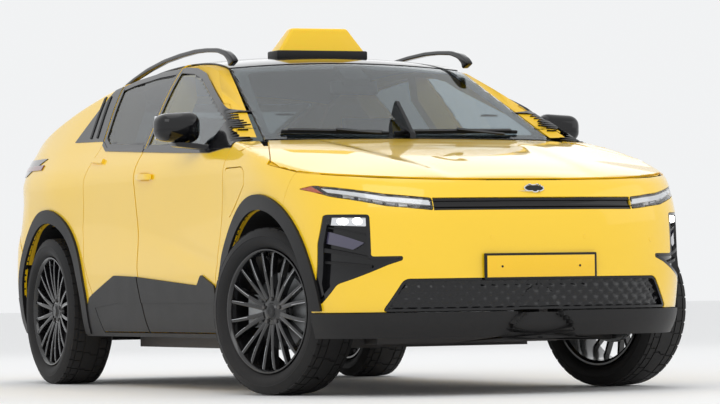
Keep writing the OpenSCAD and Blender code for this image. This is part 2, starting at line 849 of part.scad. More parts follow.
wheel_tilt = -68;
module steering_wheel() {
  color("black") translate([seat_x, Y(-640), Z(890)]) rotate([wheel_tilt, 0, 0]) translate([0, 0, 72.3]) {
    cylinder(r = 52, h = 40, $fn = 48);
    translate([0, 0, 22]) rotate_extrude($fn = 72) translate([wheel_d / 2 - 15, 0]) circle(r = 15, $fn = 24);
    for (a = [0, 180, 270]) rotate([0, 0, a]) translate([30, -16, 8]) cube([wheel_d / 2 - 42, 32, 14]);
  }
}

// Side view of a front seat, from its front edge and the floor
seat_line = [[-30, 0], [-30, 290], [40, 320], [480, 270], [610, 760], [720, 760], [700, 480],
  [610, 200], [520, 0]];
module seat_shape() {
  rounding = 40;
  translate([-seat_w / 2, 0, 0]) side_prism(seat_w) offset(r = rounding, $fn = 24)
    offset(delta = -rounding) polygon(seat_line);
  translate([-130, 590, 780]) rotate([-8, 0, 0]) cube([260, 90, 170]);
  translate([-60, 640, 740]) cube([120, 24, 80]);
}
module front_seats() {
  color("dimgray") for (s = [-1, 1])
    translate([s * seat_x, Y(-330), floor_top + seat_fit]) seat_shape();
}

rear_seat_line = [[460, 590], [520, 625], [905, 600], [1075, 1130], [1190, 1130],
  [1110, 576.5], [902, 576.5]];
module rear_seat() {
  low = floor_top + seat_fit;
  color("dimgray") translate([-X(590), 0, 0]) side_prism(X(1180)) polygon(concat(
    [[Y(902), low], [Y(480), low]], yz(rear_seat_line)));
}

// The mirror housing on its arm
mirror_y = Y(-560);
module door_mirror() {
  tip = mirror_w / 2;
  root = X(half_w(-800, 1095));
  translate([0, mirror_y, Z(1180)]) hull() {
    translate([tip - 30, 30, -8]) scale([0.4, 0.55, 1.1]) sphere(r = 70, $fn = 24);
    translate([tip - 120, 12, 2]) scale([1, 0.8, 1]) sphere(r = 78, $fn = 24);
    translate([tip - 180, 26, -4]) scale([0.6, 0.6, 0.95]) sphere(r = 70, $fn = 24);
  }
  difference() {
    hull() {
      translate([tip - 175, mirror_y - 20, Z(1098)]) cube([60, 90, 30]);
      translate([root - 30, Y(-880), Z(1062)]) cube([20, 150, 34]);
    }
    block(0);
  }
}

module charge_flap() {
  color(yellow) mirror([1, 0, 0]) panel() intersection() {
    side_skin(0, flap_t);
    side_prism() polygon(yz(flap_line));
  }
}

module front_door_left() { color(yellow) panel() door(front_door_line); }
module front_door_right() { color(yellow) mirror([1, 0, 0]) panel() door(front_door_line); }
module rear_door_left() { color(yellow) panel() door(rear_door_line); }
module rear_door_right() { color(yellow) mirror([1, 0, 0]) panel() door(rear_door_line); }
module front_glass_left() { color("slategray", 0.4) panel() door_window(front_door_line); }
module front_glass_right() { color("slategray", 0.4) mirror([1, 0, 0]) panel() door_window(front_door_line); }
module rear_glass_left() { color("slategray", 0.4) panel() door_window(rear_door_line); }
module rear_glass_right() { color("slategray", 0.4) mirror([1, 0, 0]) panel() door_window(rear_door_line); }
module mirror_left() { color("black") panel() door_mirror(); }
module mirror_right() { color("black") mirror([1, 0, 0]) panel() door_mirror(); }

floor_pan();
battery_pack();
body_sides();
roof_panel();
windscreen();
bulkhead();
front_fenders();
front_bumper();
front_valance();
lower_grille();
headlamps();
grille_bar();
corner_lamps();
rear_bumper();
tail_lamps();
roof_rails();
taxi_sign();
number_plates();
arch_trims();
wheel_liners();
front_suspension();
rear_suspension();
drive_motor();
dashboard();
front_seats();
rear_seat();
knuckle_left();
knuckle_right();
tyre_front_left();
tyre_front_right();
tyre_rear_left();
tyre_rear_right();
rim_front_left();
rim_front_right();
rim_rear_left();
rim_rear_right();
steering_wheel();
hood();
tailgate();
tailgate_glass();
front_door_left();
front_door_right();
rear_door_left();
rear_door_right();
front_glass_left();
front_glass_right();
rear_glass_left();
rear_glass_right();
mirror_left();
mirror_right();
charge_flap();
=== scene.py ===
"""Looks of a yellow electric crossover taxi. X is the car's left, Y its rear, Z up; metres."""
import json
import math

import bmesh
import bpy
import numpy as np
from mathutils import Matrix, Vector

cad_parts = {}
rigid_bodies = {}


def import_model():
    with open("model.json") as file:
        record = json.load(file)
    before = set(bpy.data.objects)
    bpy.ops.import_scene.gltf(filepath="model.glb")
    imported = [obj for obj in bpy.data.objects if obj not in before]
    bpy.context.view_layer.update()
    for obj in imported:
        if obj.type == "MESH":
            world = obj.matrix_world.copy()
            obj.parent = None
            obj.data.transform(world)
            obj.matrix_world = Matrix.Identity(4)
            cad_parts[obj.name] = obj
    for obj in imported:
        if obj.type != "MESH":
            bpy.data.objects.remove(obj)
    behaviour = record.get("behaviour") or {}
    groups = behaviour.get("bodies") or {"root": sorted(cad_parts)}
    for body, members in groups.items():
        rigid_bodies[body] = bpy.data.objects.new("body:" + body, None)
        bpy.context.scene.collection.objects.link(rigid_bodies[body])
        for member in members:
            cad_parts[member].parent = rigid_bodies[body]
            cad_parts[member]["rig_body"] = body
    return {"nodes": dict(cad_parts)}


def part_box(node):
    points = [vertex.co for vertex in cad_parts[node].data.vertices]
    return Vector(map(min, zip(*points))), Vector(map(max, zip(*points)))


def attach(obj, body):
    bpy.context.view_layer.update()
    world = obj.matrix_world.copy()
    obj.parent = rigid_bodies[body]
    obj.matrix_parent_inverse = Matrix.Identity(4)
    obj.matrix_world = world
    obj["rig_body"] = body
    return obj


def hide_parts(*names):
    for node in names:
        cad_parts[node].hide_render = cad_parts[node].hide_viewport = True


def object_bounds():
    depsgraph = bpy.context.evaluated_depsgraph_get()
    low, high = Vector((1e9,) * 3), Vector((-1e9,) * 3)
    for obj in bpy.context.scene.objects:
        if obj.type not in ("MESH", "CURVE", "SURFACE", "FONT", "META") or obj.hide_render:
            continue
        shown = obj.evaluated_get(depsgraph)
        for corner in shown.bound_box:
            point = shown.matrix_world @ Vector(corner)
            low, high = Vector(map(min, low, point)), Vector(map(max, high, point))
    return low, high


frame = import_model()
cad_box = [list(corner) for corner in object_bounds()]

MM = 0.001
half_len = cad_box[1][1]
axle_y = 1.375
axle_z = sum(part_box("tyre_rear_left")[i].z for i in (0, 1)) / 2
tyre_r = axle_z
half_track = sum(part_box("tyre_rear_left")[i].x for i in (0, 1)) / 2
arch_r = tyre_r + 0.075
steer = math.radians(17.5)


# ---------------------------------------------------------------- camera
def make_camera():
    azimuth, elevation, distance = math.radians(-23.77), math.radians(-1.28), 17.37
    back = Vector((math.sin(azimuth) * math.cos(elevation),
                   -math.cos(azimuth) * math.cos(elevation), math.sin(elevation)))
    data = bpy.data.cameras.new("camera")
    data.sensor_width, data.lens = 36, 188.28
    data.clip_end = 200
    camera = bpy.data.objects.new("camera", data)
    bpy.context.scene.collection.objects.link(camera)
    camera.rotation_mode = "QUATERNION"
    camera.location = Vector((0, -0.398, 0.849)) + back * distance
    tilt = Matrix.Rotation(math.radians(-0.87), 3, "Z").to_quaternion()
    camera.rotation_quaternion = (-back).to_track_quat("-Z", "Y") @ tilt
    bpy.context.scene.camera = camera


make_camera()


# ---------------------------------------------------------------- body surface
def smooth_line(points, width):
    """A curve through a table of stations, in millimetres, with its bends rounded over a width."""
    xs = np.arange(points[0][0] - 400, points[-1][0] + 400, 4.0)
    ys = np.interp(xs, [p[0] for p in points], [p[1] for p in points])
    widths = width(xs) if callable(width) else np.full(len(xs), float(width))
    for _ in range(2):
        total = np.concatenate([[0], np.cumsum(ys)])
        reach = np.maximum((widths / 4).astype(int), 1)
        low = np.clip(np.arange(len(xs)) - reach, 0, len(xs) - 1)
        high = np.clip(np.arange(len(xs)) + reach, 0, len(xs) - 1)
        ys = (total[high + 1] - total[low]) / (high + 1 - low)
    return lambda v: np.interp(v, xs, ys)


nose_back = smooth_line([[180, 70], [240, 44], [300, 20], [400, 12.4], [620, 12.4], [700, 16],
                         [770, 22], [822, 42], [900, 85], [950, 150], [1000, 260]], 26)
tail_back = smooth_line([[180, 80], [300, 34], [450, 12.4], [640, 12.4], [700, 20], [760, 58],
                         [900, 76], [1035, 60], [1120, 36], [1150, 50]], 18)
nose_len = smooth_line([[750, 800], [950, 860]], 60)
tail_len = smooth_line([[240, 480], [750, 500], [950, 650], [1150, 700]], 60)
side_in = smooth_line([[180, 90], [245, 52], [300, 34], [420, 22], [520, 10], [640, 14],
                       [780, 17], [900, 9], [985, 0], [1040, 14], [1100, 48], [1470, 255],
                       [1560, 345], [1660, 440]],
                      lambda z: np.where(z > 1120, 120.0, np.where(z > 940, 16.0, 60.0)))
top_line = smooth_line([[-2300, 850], [-2175, 899], [-2100, 930], [-1900, 978], [-1691, 1015],
                        [-1400, 1062], [-1200, 1092], [-964, 1118], [-249, 1509],
                        [-100, 1536], [100, 1553], [350, 1558], [650, 1549], [1000, 1511],
                        [1262, 1455], [1540, 1366], [1750, 1284], [1969, 1198], [2080, 1152],
                        [2180, 1134], [2300, 1110]],
                       lambda y: np.interp(y, [-2150, -2000, -1200, -980, -940, -700, -300, 0,
                                               1000, 1900, 2060, 2100],
                                           [16, 110, 110, 12, 12, 110, 60, 160, 150, 90, 14, 20]))
top_drop = smooth_line([[-2175, 75], [-1691, 62], [-964, 4], [-249, 30], [400, 40], [1262, 40],
                        [1969, 34], [2300, 60]], 120)
top_edge = smooth_line([[-2175, 867], [-1400, 850], [-964, 732], [-249, 581], [1262, 560],
                        [1969, 700], [2300, 700]], 120)


def corner(s):
    s = np.clip(s, 0, 1)
    return (1 - (1 - s) ** 3) ** (1 / 3)


def bump(v, middle, reach):
    return np.exp(-((v - middle) / reach) ** 2)


def side_detail(y, z):
    """Hollows and creases of the body side, in millimetres inwards."""
    crease = 500 + (y + 900) * 0.16
    hollow = 9 * bump(z, 700, 110) * bump(y, -150, 700)
    lower = 7 * bump(z, crease + 60, 40) * bump(y, -500, 420)
    haunch = -10 * bump(z, 930, 110) * bump(y, 1250, 420)
    front_haunch = -5 * bump(z, 900, 90) * bump(y, -1375, 300)
    return hollow + lower + haunch + front_haunch


def half_width(y, z):
    swell = 12 * np.exp(-((np.abs(y) - 1375) / 330) ** 2)
    return ((906 + swell - side_in(z) - side_detail(y, z))
            * corner((y + 2260 - nose_back(z)) / nose_len(z))
            * corner((2260 - tail_back(z) - y) / tail_len(z)))


def hood_detail(x, y):
    """The raised outer thirds of the hood, in millimetres."""
    inner = np.interp(y, [-2180, -1000], [330, 470])
    rise = 1 / (1 + np.exp(-(np.abs(x) - inner) / 16))
    fade = np.clip((y + 2190) / 160, 0, 1) * np.clip((-985 - y) / 260, 0, 1)
    return 9 * (rise - 0.75) * fade


def top_height(x, y):
    return (top_line(y) - top_drop(y) * (np.abs(x) / top_edge(y)) ** 2 + hood_detail(x, y))


def outside(p, lift=0.0):
    """Positive outside the body; close to a distance in millimetres near its surface."""
    x, y, z = p[:, 0] * 1000, p[:, 1] * 1000, p[:, 2] * 1000
    side = np.maximum(np.abs(x) - half_width(y, z),
                      np.maximum(nose_back(z) - 2260 - y, y + tail_back(z) - 2260))
    top = z - top_height(x, y)
    soft = np.interp(y, [-2250, -1900, -1000, -900, 2000], [10, 16, 12, 22, 12])
    mix = np.clip(0.5 + 0.5 * (side - top) / soft, 0, 1)
    return side * mix + top * (1 - mix) + soft * mix * (1 - mix) - lift


def outward(p):
    """Outward normals of the body at points near its surface."""
    step = 0.004
    grad = np.stack([outside(p + np.eye(3)[k] * step) - outside(p - np.eye(3)[k] * step)
                     for k in range(3)], 1)
    return grad / np.maximum(np.linalg.norm(grad, axis=1, keepdims=True), 1e-9)


class Rays:
    """A family of straight lines that each meet the body's skin once."""

    def __init__(self, kind, centre=0.0):
        self.kind, self.centre = kind, centre

    def start(self, u, v):
        zero = np.zeros_like(u)
        if self.kind == "side":
            return np.stack([zero + 0.5, u, v], 1)
        if self.kind == "top":
            return np.stack([u, v, zero + 0.5], 1)
        if self.kind == "ring":
            return np.stack([np.sin(u), self.centre - np.cos(u), v], 1)
        return np.stack([np.sin(v), u, self.centre + np.cos(v)], 1)

    def base(self, p):
        q = p.copy()
        if self.kind == "side":
            q[:, 0] = 0
        elif self.kind == "top":
            q[:, 2] = 0.1
        elif self.kind == "ring":
            q[:, 0], q[:, 1] = 0, self.centre
        else:
            q[:, 0], q[:, 2] = 0, self.centre
        return q

    def settle(self, p, lift=0.0):
        """Moves points along their lines onto the skin, and out from it by a lift."""
        base = self.base(p)
        way = p - base
        way /= np.maximum(np.linalg.norm(way, axis=1, keepdims=True), 1e-9)
        low, high = np.zeros(len(p)), np.full(len(p), 2.4)
        for _ in range(26):
            middle = (low + high) / 2
            out = outside(base + way * middle[:, None]) > 0
            high = np.where(out, middle, high)
            low = np.where(out, low, middle)
        q = base + way * low[:, None]
        return q + outward(q) * lift if lift else q


def coords(bm):
    return np.array([v.co for v in bm.verts], float).reshape(-1, 3)


def move_to(bm, points):
    for v, p in zip(bm.verts, points):
        v.co = p


# ---------------------------------------------------------------- outlines
def rounded(points, radius, closed=True, steps=4):
    """The outline in metres, with arcs of a radius in place of its corners."""
    pts = [Vector((p[0], p[1])) * MM for p in points]
    out, count = [], len(pts)
    for i, p in enumerate(pts):
        if not closed and i in (0, count - 1):
            out.append(p)
            continue
        a, b = pts[i - 1], pts[(i + 1) % count]
        reach = min(radius * MM, (p - a).length * 0.45, (p - b).length * 0.45)
        start, end = p + (a - p).normalized() * reach, p + (b - p).normalized() * reach
        for k in range(steps + 1):
            t = k / steps
            out.append(start * (1 - t) ** 2 + p * 2 * t * (1 - t) + end * t * t)
    return out


def within(points, outline):
    """Which of the 2-D points lie inside a closed outline."""
    inside = np.zeros(len(points), bool)
    px, py = points[:, 0], points[:, 1]
    for i, b in enumerate(outline):
        a = outline[i - 1]
        if a[1] == b[1]:
            continue
        crosses = (a[1] > py) != (b[1] > py)
        where = a[0] + (py - a[1]) / (b[1] - a[1]) * (b[0] - a[0])
        inside ^= crosses & (px < where)
    return inside


def edge_distance(points, outline):
    best = np.full(len(points), 1e9)
    for i, b in enumerate(outline):
        a, b = np.array(outline[i - 1]), np.array(b)
        d = b - a
        t = np.clip(((points - a) @ d) / max(d @ d, 1e-12), 0, 1)
        best = np.minimum(best, np.linalg.norm(points - a - t[:, None] * d, axis=1))
    return best


PLANES = {"x": (1, 2), "y": (0, 2), "z": (0, 1)}


def trim_to(bm, axis, outline, keep_inside=True, cell=0.03):
    """Cuts a sheet along an outline seen along an axis, and drops what lies on one side."""
    a, b = PLANES[axis]
    centres = np.array([f.calc_center_median() for f in bm.faces], float)[:, [a, b]]
    near = edge_distance(centres, outline) < cell
    bm.faces.ensure_lookup_table()
    work = {f for f, n in zip(bm.faces, near) if n}
    for i, q in enumerate(outline):
        p = outline[i - 1]
        if (q - p).length < 1e-6:
            continue
        low = (min(p[0], q[0]) - 1e-5, min(p[1], q[1]) - 1e-5)
        high = (max(p[0], q[0]) + 1e-5, max(p[1], q[1]) + 1e-5)
        hit = []
        for f in work:
            us = [v.co[a] for v in f.verts]
            vs = [v.co[b] for v in f.verts]
            if max(us) >= low[0] and min(us) <= high[0] and max(vs) >= low[1] \
                    and min(vs) <= high[1]:
                hit.append(f)
        if not hit:
            continue
        along = q - p
        normal, place = [0, 0, 0], [0, 0, 0]
        normal[a], normal[b] = -along[1], along[0]
        place[a], place[b] = p
        geom = set(hit)
        for f in hit:
            geom.update(f.edges)
            geom.update(f.verts)
        done = bmesh.ops.bisect_plane(bm, geom=list(geom), plane_co=place, plane_no=normal,
                                      dist=2e-6)
        work.update(g for g in done["geom"] if isinstance(g, bmesh.types.BMFace))
        work = {f for f in work if f.is_valid}
    centres = np.array([f.calc_center_median() for f in bm.faces], float)[:, [a, b]]
    drop = within(centres, outline) != keep_inside
    bmesh.ops.delete(bm, geom=[f for f, d in zip(bm.faces, drop) if d], context="FACES")


def finish_piece(name, bm, body, material, smooth=40, replaces=(), slot=None):
    """Turns a bmesh into a named piece that rides on a body."""
    mesh = bpy.data.meshes.new(name)
    for f in bm.faces:
        f.smooth = True
    limit = math.radians(smooth)
    for e in bm.edges:
        if len(e.link_faces) == 2 and e.calc_face_angle(0) > limit:
            e.smooth = False
    bm.to_mesh(mesh)
    bm.free()
    piece = bpy.data.objects.new(name, mesh)
    bpy.context.scene.collection.objects.link(piece)
    for m in material if isinstance(material, (list, tuple)) else [material]:
        mesh.materials.append(m)
    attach(piece, body)
    if replaces:
        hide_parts(*replaces)
    return piece


def wall(piece, thickness, edge=0.0016, segments=2):
    """Gives a sheet its thickness, inwards, and rounds its edges."""
    solid = piece.modifiers.new("wall", "SOLIDIFY")
    solid.thickness, solid.offset = thickness, -1
    solid.use_even_offset = True
    if edge:
        bevel = piece.modifiers.new("rounded_edge", "BEVEL")
        bevel.width, bevel.segments = edge, segments
        bevel.limit_method, bevel.angle_limit = "ANGLE", math.radians(50)
        bevel.harden_normals = True
    return piece


stretched_edge = 0.11


def body_sheet(rays, us, vs, cell, cuts, lift=0.0):
    """A sheet of the body's skin between two ranges, cut to outlines seen along axes."""
    bm = bmesh.new()
    nu = max(int(abs(us[1] - us[0]) / cell), 2)
    nv = max(int(abs(vs[1] - vs[0]) / cell), 2)
    bmesh.ops.create_grid(bm, x_segments=nu, y_segments=nv, size=1)
    g = coords(bm)
    u = us[0] + (g[:, 0] + 1) / 2 * (us[1] - us[0])
    v = vs[0] + (g[:, 1] + 1) / 2 * (vs[1] - vs[0])
    move_to(bm, rays.settle(rays.start(u, v)))
    for axis, outline, keep in cuts:
        trim_to(bm, axis, outline, keep, cell * 3)
    bmesh.ops.remove_doubles(bm, verts=bm.verts, dist=0.0005)
    points = coords(bm)
    move_to(bm, rays.settle(points, lift))
    limit = max(stretched_edge, 6 * cell)
    stretched = {f for e in bm.edges if e.calc_length() > limit for f in e.link_faces}
    bmesh.ops.delete(bm, geom=list(stretched), context="FACES")
    loose = [v for v in bm.verts if not v.link_faces]
    bmesh.ops.delete(bm, geom=loose, context="VERTS")
    face_out(bm)
    return bm


def face_out(bm):
    """Turns an open sheet of the body's skin so that its faces point outwards."""
    bm.normal_update()
    centres = np.array([f.calc_center_median() for f in bm.faces], float)
    normals = np.array([f.normal for f in bm.faces], float)
    wrong = (outward(centres) * normals).sum(1) < 0
    bmesh.ops.reverse_faces(bm, faces=[f for f, w in zip(bm.faces, wrong) if w])


def flipped(bm):
    """The same shape for the other side of the car alone."""
    other = bm.copy()
    for v in other.verts:
        v.co.x = -v.co.x
    bmesh.ops.reverse_faces(other, faces=other.faces)
    return other


def grown(outline, distance):
    """A closed outline moved outwards by a distance, inwards if it is negative."""
    count = len(outline)
    area = sum(outline[i - 1][0] * outline[i][1] - outline[i][0] * outline[i - 1][1]
               for i in range(count))
    turn = 1 if area > 0 else -1
    out = []
    for i, p in enumerate(outline):
        a, b = p - outline[i - 1], outline[(i + 1) % count] - p
        if a.length < 1e-9 or b.length < 1e-9:
            continue
        na, nb = Vector((a.y, -a.x)).normalized(), Vector((b.y, -b.x)).normalized()
        middle = (na + nb).normalized()
        out.append(p + middle * (turn * distance / max(middle.dot(na), 0.5)))
    return out


# ---------------------------------------------------------------- finishes
def node_group(name, inputs, outputs):
    """An empty shader group with its sockets, and its two end nodes."""
    tree = bpy.data.node_groups.new(name, "ShaderNodeTree")
    for label, kind, value in inputs:
        socket = tree.interface.new_socket(label, in_out="INPUT", socket_type=kind)
        socket.default_value = value
    for label, kind in outputs:
        tree.interface.new_socket(label, in_out="OUTPUT", socket_type=kind)
    return tree, tree.nodes.new("NodeGroupInput"), tree.nodes.new("NodeGroupOutput")


def add_node(tree, kind, **values):
    node = tree.nodes.new(kind)
    for key, value in values.items():
        if hasattr(node, key):
            setattr(node, key, value)
        else:
            node.inputs[key.replace("_", " ")].default_value = value
    return node


def make_finish_group():
    """Slow change of colour and gloss, fine grain, and road dust that thickens near the ground."""
    tree, start, end = node_group(
        "finish",
        [("Colour", "NodeSocketColor", (0.5, 0.5, 0.5, 1)), ("Roughness", "NodeSocketFloat", 0.5),
         ("Blotch Scale", "NodeSocketFloat", 4.0), ("Change", "NodeSocketFloat", 0.06),
         ("Grain Scale", "NodeSocketFloat", 300.0), ("Dust", "NodeSocketFloat", 0.1),
         ("Dust Height", "NodeSocketFloat", 0.5)],
        [("Colour", "NodeSocketColor"), ("Roughness", "NodeSocketFloat"),
         ("Height", "NodeSocketFloat")])
    link = tree.links.new
    place = add_node(tree, "ShaderNodeTexCoord")
    blotch = add_node(tree, "ShaderNodeTexNoise", Detail=4.0, Roughness=0.6)
    grain = add_node(tree, "ShaderNodeTexNoise", Detail=2.0)
    speck = add_node(tree, "ShaderNodeTexNoise", Scale=38.0, Detail=6.0, Roughness=0.7)
    for noise in (blotch, grain, speck):
        link(place.outputs["Object"], noise.inputs["Vector"])
    link(start.outputs["Blotch Scale"], blotch.inputs["Scale"])
    link(start.outputs["Grain Scale"], grain.inputs["Scale"])
    centred = add_node(tree, "ShaderNodeMath", operation="SUBTRACT")
    centred.inputs[1].default_value = 0.5
    link(blotch.outputs["Fac"], centred.inputs[0])
    change = add_node(tree, "ShaderNodeMath", operation="MULTIPLY")
    link(centred.outputs[0], change.inputs[0])
    link(start.outputs["Change"], change.inputs[1])
    value = add_node(tree, "ShaderNodeMath", operation="ADD")
    value.inputs[1].default_value = 1.0
    link(change.outputs[0], value.inputs[0])
    shade = add_node(tree, "ShaderNodeHueSaturation")
    link(start.outputs["Colour"], shade.inputs["Color"])
    link(value.outputs[0], shade.inputs["Value"])
    split = add_node(tree, "ShaderNodeSeparateXYZ")
    link(place.outputs["Object"], split.inputs[0])
    height = add_node(tree, "ShaderNodeMapRange")
    height.inputs["From Max"].default_value = 0.0
    height.inputs["To Min"].default_value = 0.0
    height.inputs["To Max"].default_value = 1.0
    link(split.outputs["Z"], height.inputs["Value"])
    link(start.outputs["Dust Height"], height.inputs["From Min"])
    spread = add_node(tree, "ShaderNodeMath", operation="MULTIPLY")
    link(height.outputs["Result"], spread.inputs[0])
    link(speck.outputs["Fac"], spread.inputs[1])
    mask = add_node(tree, "ShaderNodeMath", operation="MULTIPLY", use_clamp=True)
    link(spread.outputs[0], mask.inputs[0])
    link(start.outputs["Dust"], mask.inputs[1])
    mix = add_node(tree, "ShaderNodeMix", data_type="RGBA")
    mix.inputs[7].default_value = (0.21, 0.18, 0.145, 1)
    link(mask.outputs[0], mix.inputs[0])
    link(shade.outputs["Color"], mix.inputs[6])
    link(mix.outputs[2], end.inputs["Colour"])
    rough = add_node(tree, "ShaderNodeMath", operation="MULTIPLY_ADD", use_clamp=True)
    rough.inputs[1].default_value = 0.5
    link(mask.outputs[0], rough.inputs[0])
    glossy = add_node(tree, "ShaderNodeMath", operation="MULTIPLY")
    link(start.outputs["Roughness"], glossy.inputs[0])
    link(value.outputs[0], glossy.inputs[1])
    link(glossy.outputs[0], rough.inputs[2])
    link(rough.outputs[0], end.inputs["Roughness"])
    link(grain.outputs["Fac"], end.inputs["Height"])
    return tree


def make_weave_group():
    """Over-and-under threads of a woven cover."""
    tree, start, end = node_group(
        "weave", [("Colour", "NodeSocketColor", (0.1, 0.1, 0.1, 1)),
                  ("Threads", "NodeSocketFloat", 700.0)],
        [("Colour", "NodeSocketColor"), ("Height", "NodeSocketFloat")])
    link = tree.links.new
    place = add_node(tree, "ShaderNodeTexCoord")
    waves = []
    for direction in ("X", "Z"):
        wave = add_node(tree, "ShaderNodeTexWave", bands_direction=direction, Distortion=0.6)
        link(place.outputs["Object"], wave.inputs["Vector"])
        link(start.outputs["Threads"], wave.inputs["Scale"])
        waves.append(wave)
    cross = add_node(tree, "ShaderNodeMath", operation="MULTIPLY")
    link(waves[0].outputs["Fac"], cross.inputs[0])
    link(waves[1].outputs["Fac"], cross.inputs[1])
    mix = add_node(tree, "ShaderNodeMix", data_type="RGBA")
    mix.inputs[7].default_value = (0.09, 0.095, 0.1, 1)
    link(cross.outputs[0], mix.inputs[0])
    link(start.outputs["Colour"], mix.inputs[6])
    link(mix.outputs[2], end.inputs["Colour"])
    link(cross.outputs[0], end.inputs["Height"])
    return tree


finish_group = make_finish_group()
weave_group = make_weave_group()


def finish(name, colour, roughness, change=0.06, blotch=4.0, grain=300.0, bump=0.05, dust=0.1,
           dust_height=0.5, group=None, **shader):
    """A material: one shader, fed by the finish group, with its even values on its own sockets."""
    material = bpy.data.materials.new(name)
    material.use_nodes = True
    tree = material.node_tree
    principled = tree.nodes["Principled BSDF"]
    for key, value in shader.items():
        principled.inputs[key.replace("_", " ")].default_value = value
    node = tree.nodes.new("ShaderNodeGroup")
    if group is weave_group:
        node.node_tree = weave_group
        node.inputs["Colour"].default_value = (*colour, 1)
        principled.inputs["Roughness"].default_value = roughness
    else:
        node.node_tree = finish_group
        for label, value in (("Colour", (*colour, 1)), ("Roughness", roughness),
                             ("Blotch Scale", blotch), ("Change", change),
                             ("Grain Scale", grain), ("Dust", dust),
                             ("Dust Height", dust_height)):
            node.inputs[label].default_value = value
        tree.links.new(node.outputs["Roughness"], principled.inputs["Roughness"])
    tree.links.new(node.outputs["Colour"], principled.inputs["Base Color"])
    if bump:
        relief = tree.nodes.new("ShaderNodeBump")
        relief.inputs["Strength"].default_value = bump
        relief.inputs["Distance"].default_value = 0.001
        tree.links.new(node.outputs["Height"], relief.inputs["Height"])
        tree.links.new(relief.outputs["Normal"], principled.inputs["Normal"])
    return material


def see_through(material, tint):
    """Lets light through a pane, tinted, so that what is behind it is lit."""
    tree = material.node_tree
    clear = tree.nodes.new("ShaderNodeBsdfTransparent")
    clear.inputs["Color"].default_value = (*tint, 1)
    path = tree.nodes.new("ShaderNodeLightPath")
    mix = tree.nodes.new("ShaderNodeMixShader")
    out = tree.nodes["Material Output"]
    tree.links.new(path.outputs["Is Shadow Ray"], mix.inputs[0])
    tree.links.new(tree.nodes["Principled BSDF"].outputs[0], mix.inputs[1])
    tree.links.new(clear.outputs[0], mix.inputs[2])
    tree.links.new(mix.outputs[0], out.inputs["Surface"])
    return material


yellow_paint = finish("yellow_paint", (0.96, 0.61, 0.001), 0.42, change=0.05, blotch=2.2,
                      grain=900, bump=0.006, dust=0.05, dust_height=0.75, Coat_Weight=1.0,
                      Coat_Roughness=0.025, Specular_IOR_Level=0.5)
# A darker yellow than the body paint: painted shade for the panel cores seen in the shut gaps and
# for the flat cup behind the door handle. Its dust is real dust.
inner_paint_with_painted_shade = finish("inner_paint_with_painted_shade", (0.82, 0.50, 0.003), 0.5, change=0.08, dust=0.3,
                     dust_height=1.2)
black_gloss = finish("black_gloss", (0.004, 0.004, 0.005), 0.12, change=0.2, blotch=5,
                     grain=800, bump=0.008, dust=0.02, Specular_IOR_Level=0.3,
                     Coat_Weight=0.3, Coat_Roughness=0.03)
black_satin = finish("black_satin", (0.008, 0.008, 0.009), 0.46, change=0.25, blotch=7,
                     grain=1400, bump=0.2, dust=0.07, dust_height=0.75, Specular_IOR_Level=0.3)
black_matt = finish("black_matt", (0.009, 0.009, 0.01), 0.75, change=0.3, grain=900, bump=0.3,
                    dust=0.15, dust_height=0.7, Specular_IOR_Level=0.3)
tyre_rubber = finish("tyre_rubber", (0.010, 0.010, 0.011), 0.6, change=0.3, blotch=9,
                     grain=1100, bump=0.2, dust=0.08, dust_height=0.72, Specular_IOR_Level=0.3)
wheel_gloss = finish("wheel_gloss", (0.006, 0.006, 0.007), 0.2, change=0.2, grain=700,
                     bump=0.01, dust=0.04, dust_height=0.7, Coat_Weight=0.5, Coat_Roughness=0.06)
machined = finish("machined", (0.55, 0.56, 0.58), 0.26, change=0.1, grain=1500, bump=0.04,
                  dust=0.1, Metallic=1.0)
chrome = finish("chrome", (0.78, 0.79, 0.81), 0.09, change=0.04, grain=500, bump=0.0, dust=0.05,
                Metallic=1.0)
steel = finish("steel", (0.10, 0.10, 0.105), 0.5, change=0.3, grain=500, bump=0.2, dust=0.5,
               dust_height=0.8, Metallic=0.7)
alloy = finish("alloy", (0.42, 0.43, 0.44), 0.45, change=0.2, grain=420, bump=0.25, dust=0.4,
               Metallic=0.9)
cabin_plastic = finish("cabin_plastic", (0.028, 0.029, 0.031), 0.62, change=0.15, grain=1200,
                       bump=0.35, dust=0.05)
cabin_grey = finish("cabin_grey", (0.13, 0.13, 0.135), 0.75, change=0.12, grain=900, bump=0.3,
                    dust=0.04)
seat_cloth = finish("seat_cloth", (0.03, 0.032, 0.036), 0.85, group=weave_group, bump=0.5,
                    Sheen_Weight=0.35)
rim_leather = finish("rim_leather", (0.016, 0.016, 0.017), 0.5, change=0.1, grain=650, bump=0.4,
                     dust=0.0)
lamp_white = finish("lamp_white", (0.86, 0.87, 0.88), 0.22, change=0.03, bump=0.0, dust=0.0,
                    Coat_Weight=0.5)
lamp_glow = finish("lamp_glow", (1.0, 0.98, 0.93), 0.4, change=0.02, bump=0.0, dust=0.0,
                   Emission_Color=(1.0, 0.97, 0.9, 1), Emission_Strength=9.0)
amber_lens = finish("amber_lens", (0.62, 0.10, 0.015), 0.15, change=0.05, bump=0.0, dust=0.02,
                    Coat_Weight=1.0)
red_lens = finish("red_lens", (0.16, 0.006, 0.006), 0.14, change=0.1, bump=0.0, dust=0.05,
                  Coat_Weight=1.0, Coat_Roughness=0.02)
dark_lens = finish("dark_lens", (0.012, 0.004, 0.005), 0.1, change=0.1, bump=0.0, dust=0.05,
                   Coat_Weight=1.0, Coat_Roughness=0.02)
violet_gloss = finish("violet_gloss", (0.05, 0.045, 0.085), 0.16, change=0.1, bump=0.0,
                      dust=0.1, Coat_Weight=1.0)
sign_plastic = finish("sign_plastic", (0.95, 0.60, 0.004), 0.3, change=0.03, grain=700,
                      bump=0.02, dust=0.03, Subsurface_Weight=0.1, Coat_Weight=0.4)
plate_film = finish("plate_film", (0.93, 0.56, 0.01), 0.36, change=0.03, grain=1500, bump=0.06,
                    dust=0.08, Coat_Weight=0.3)
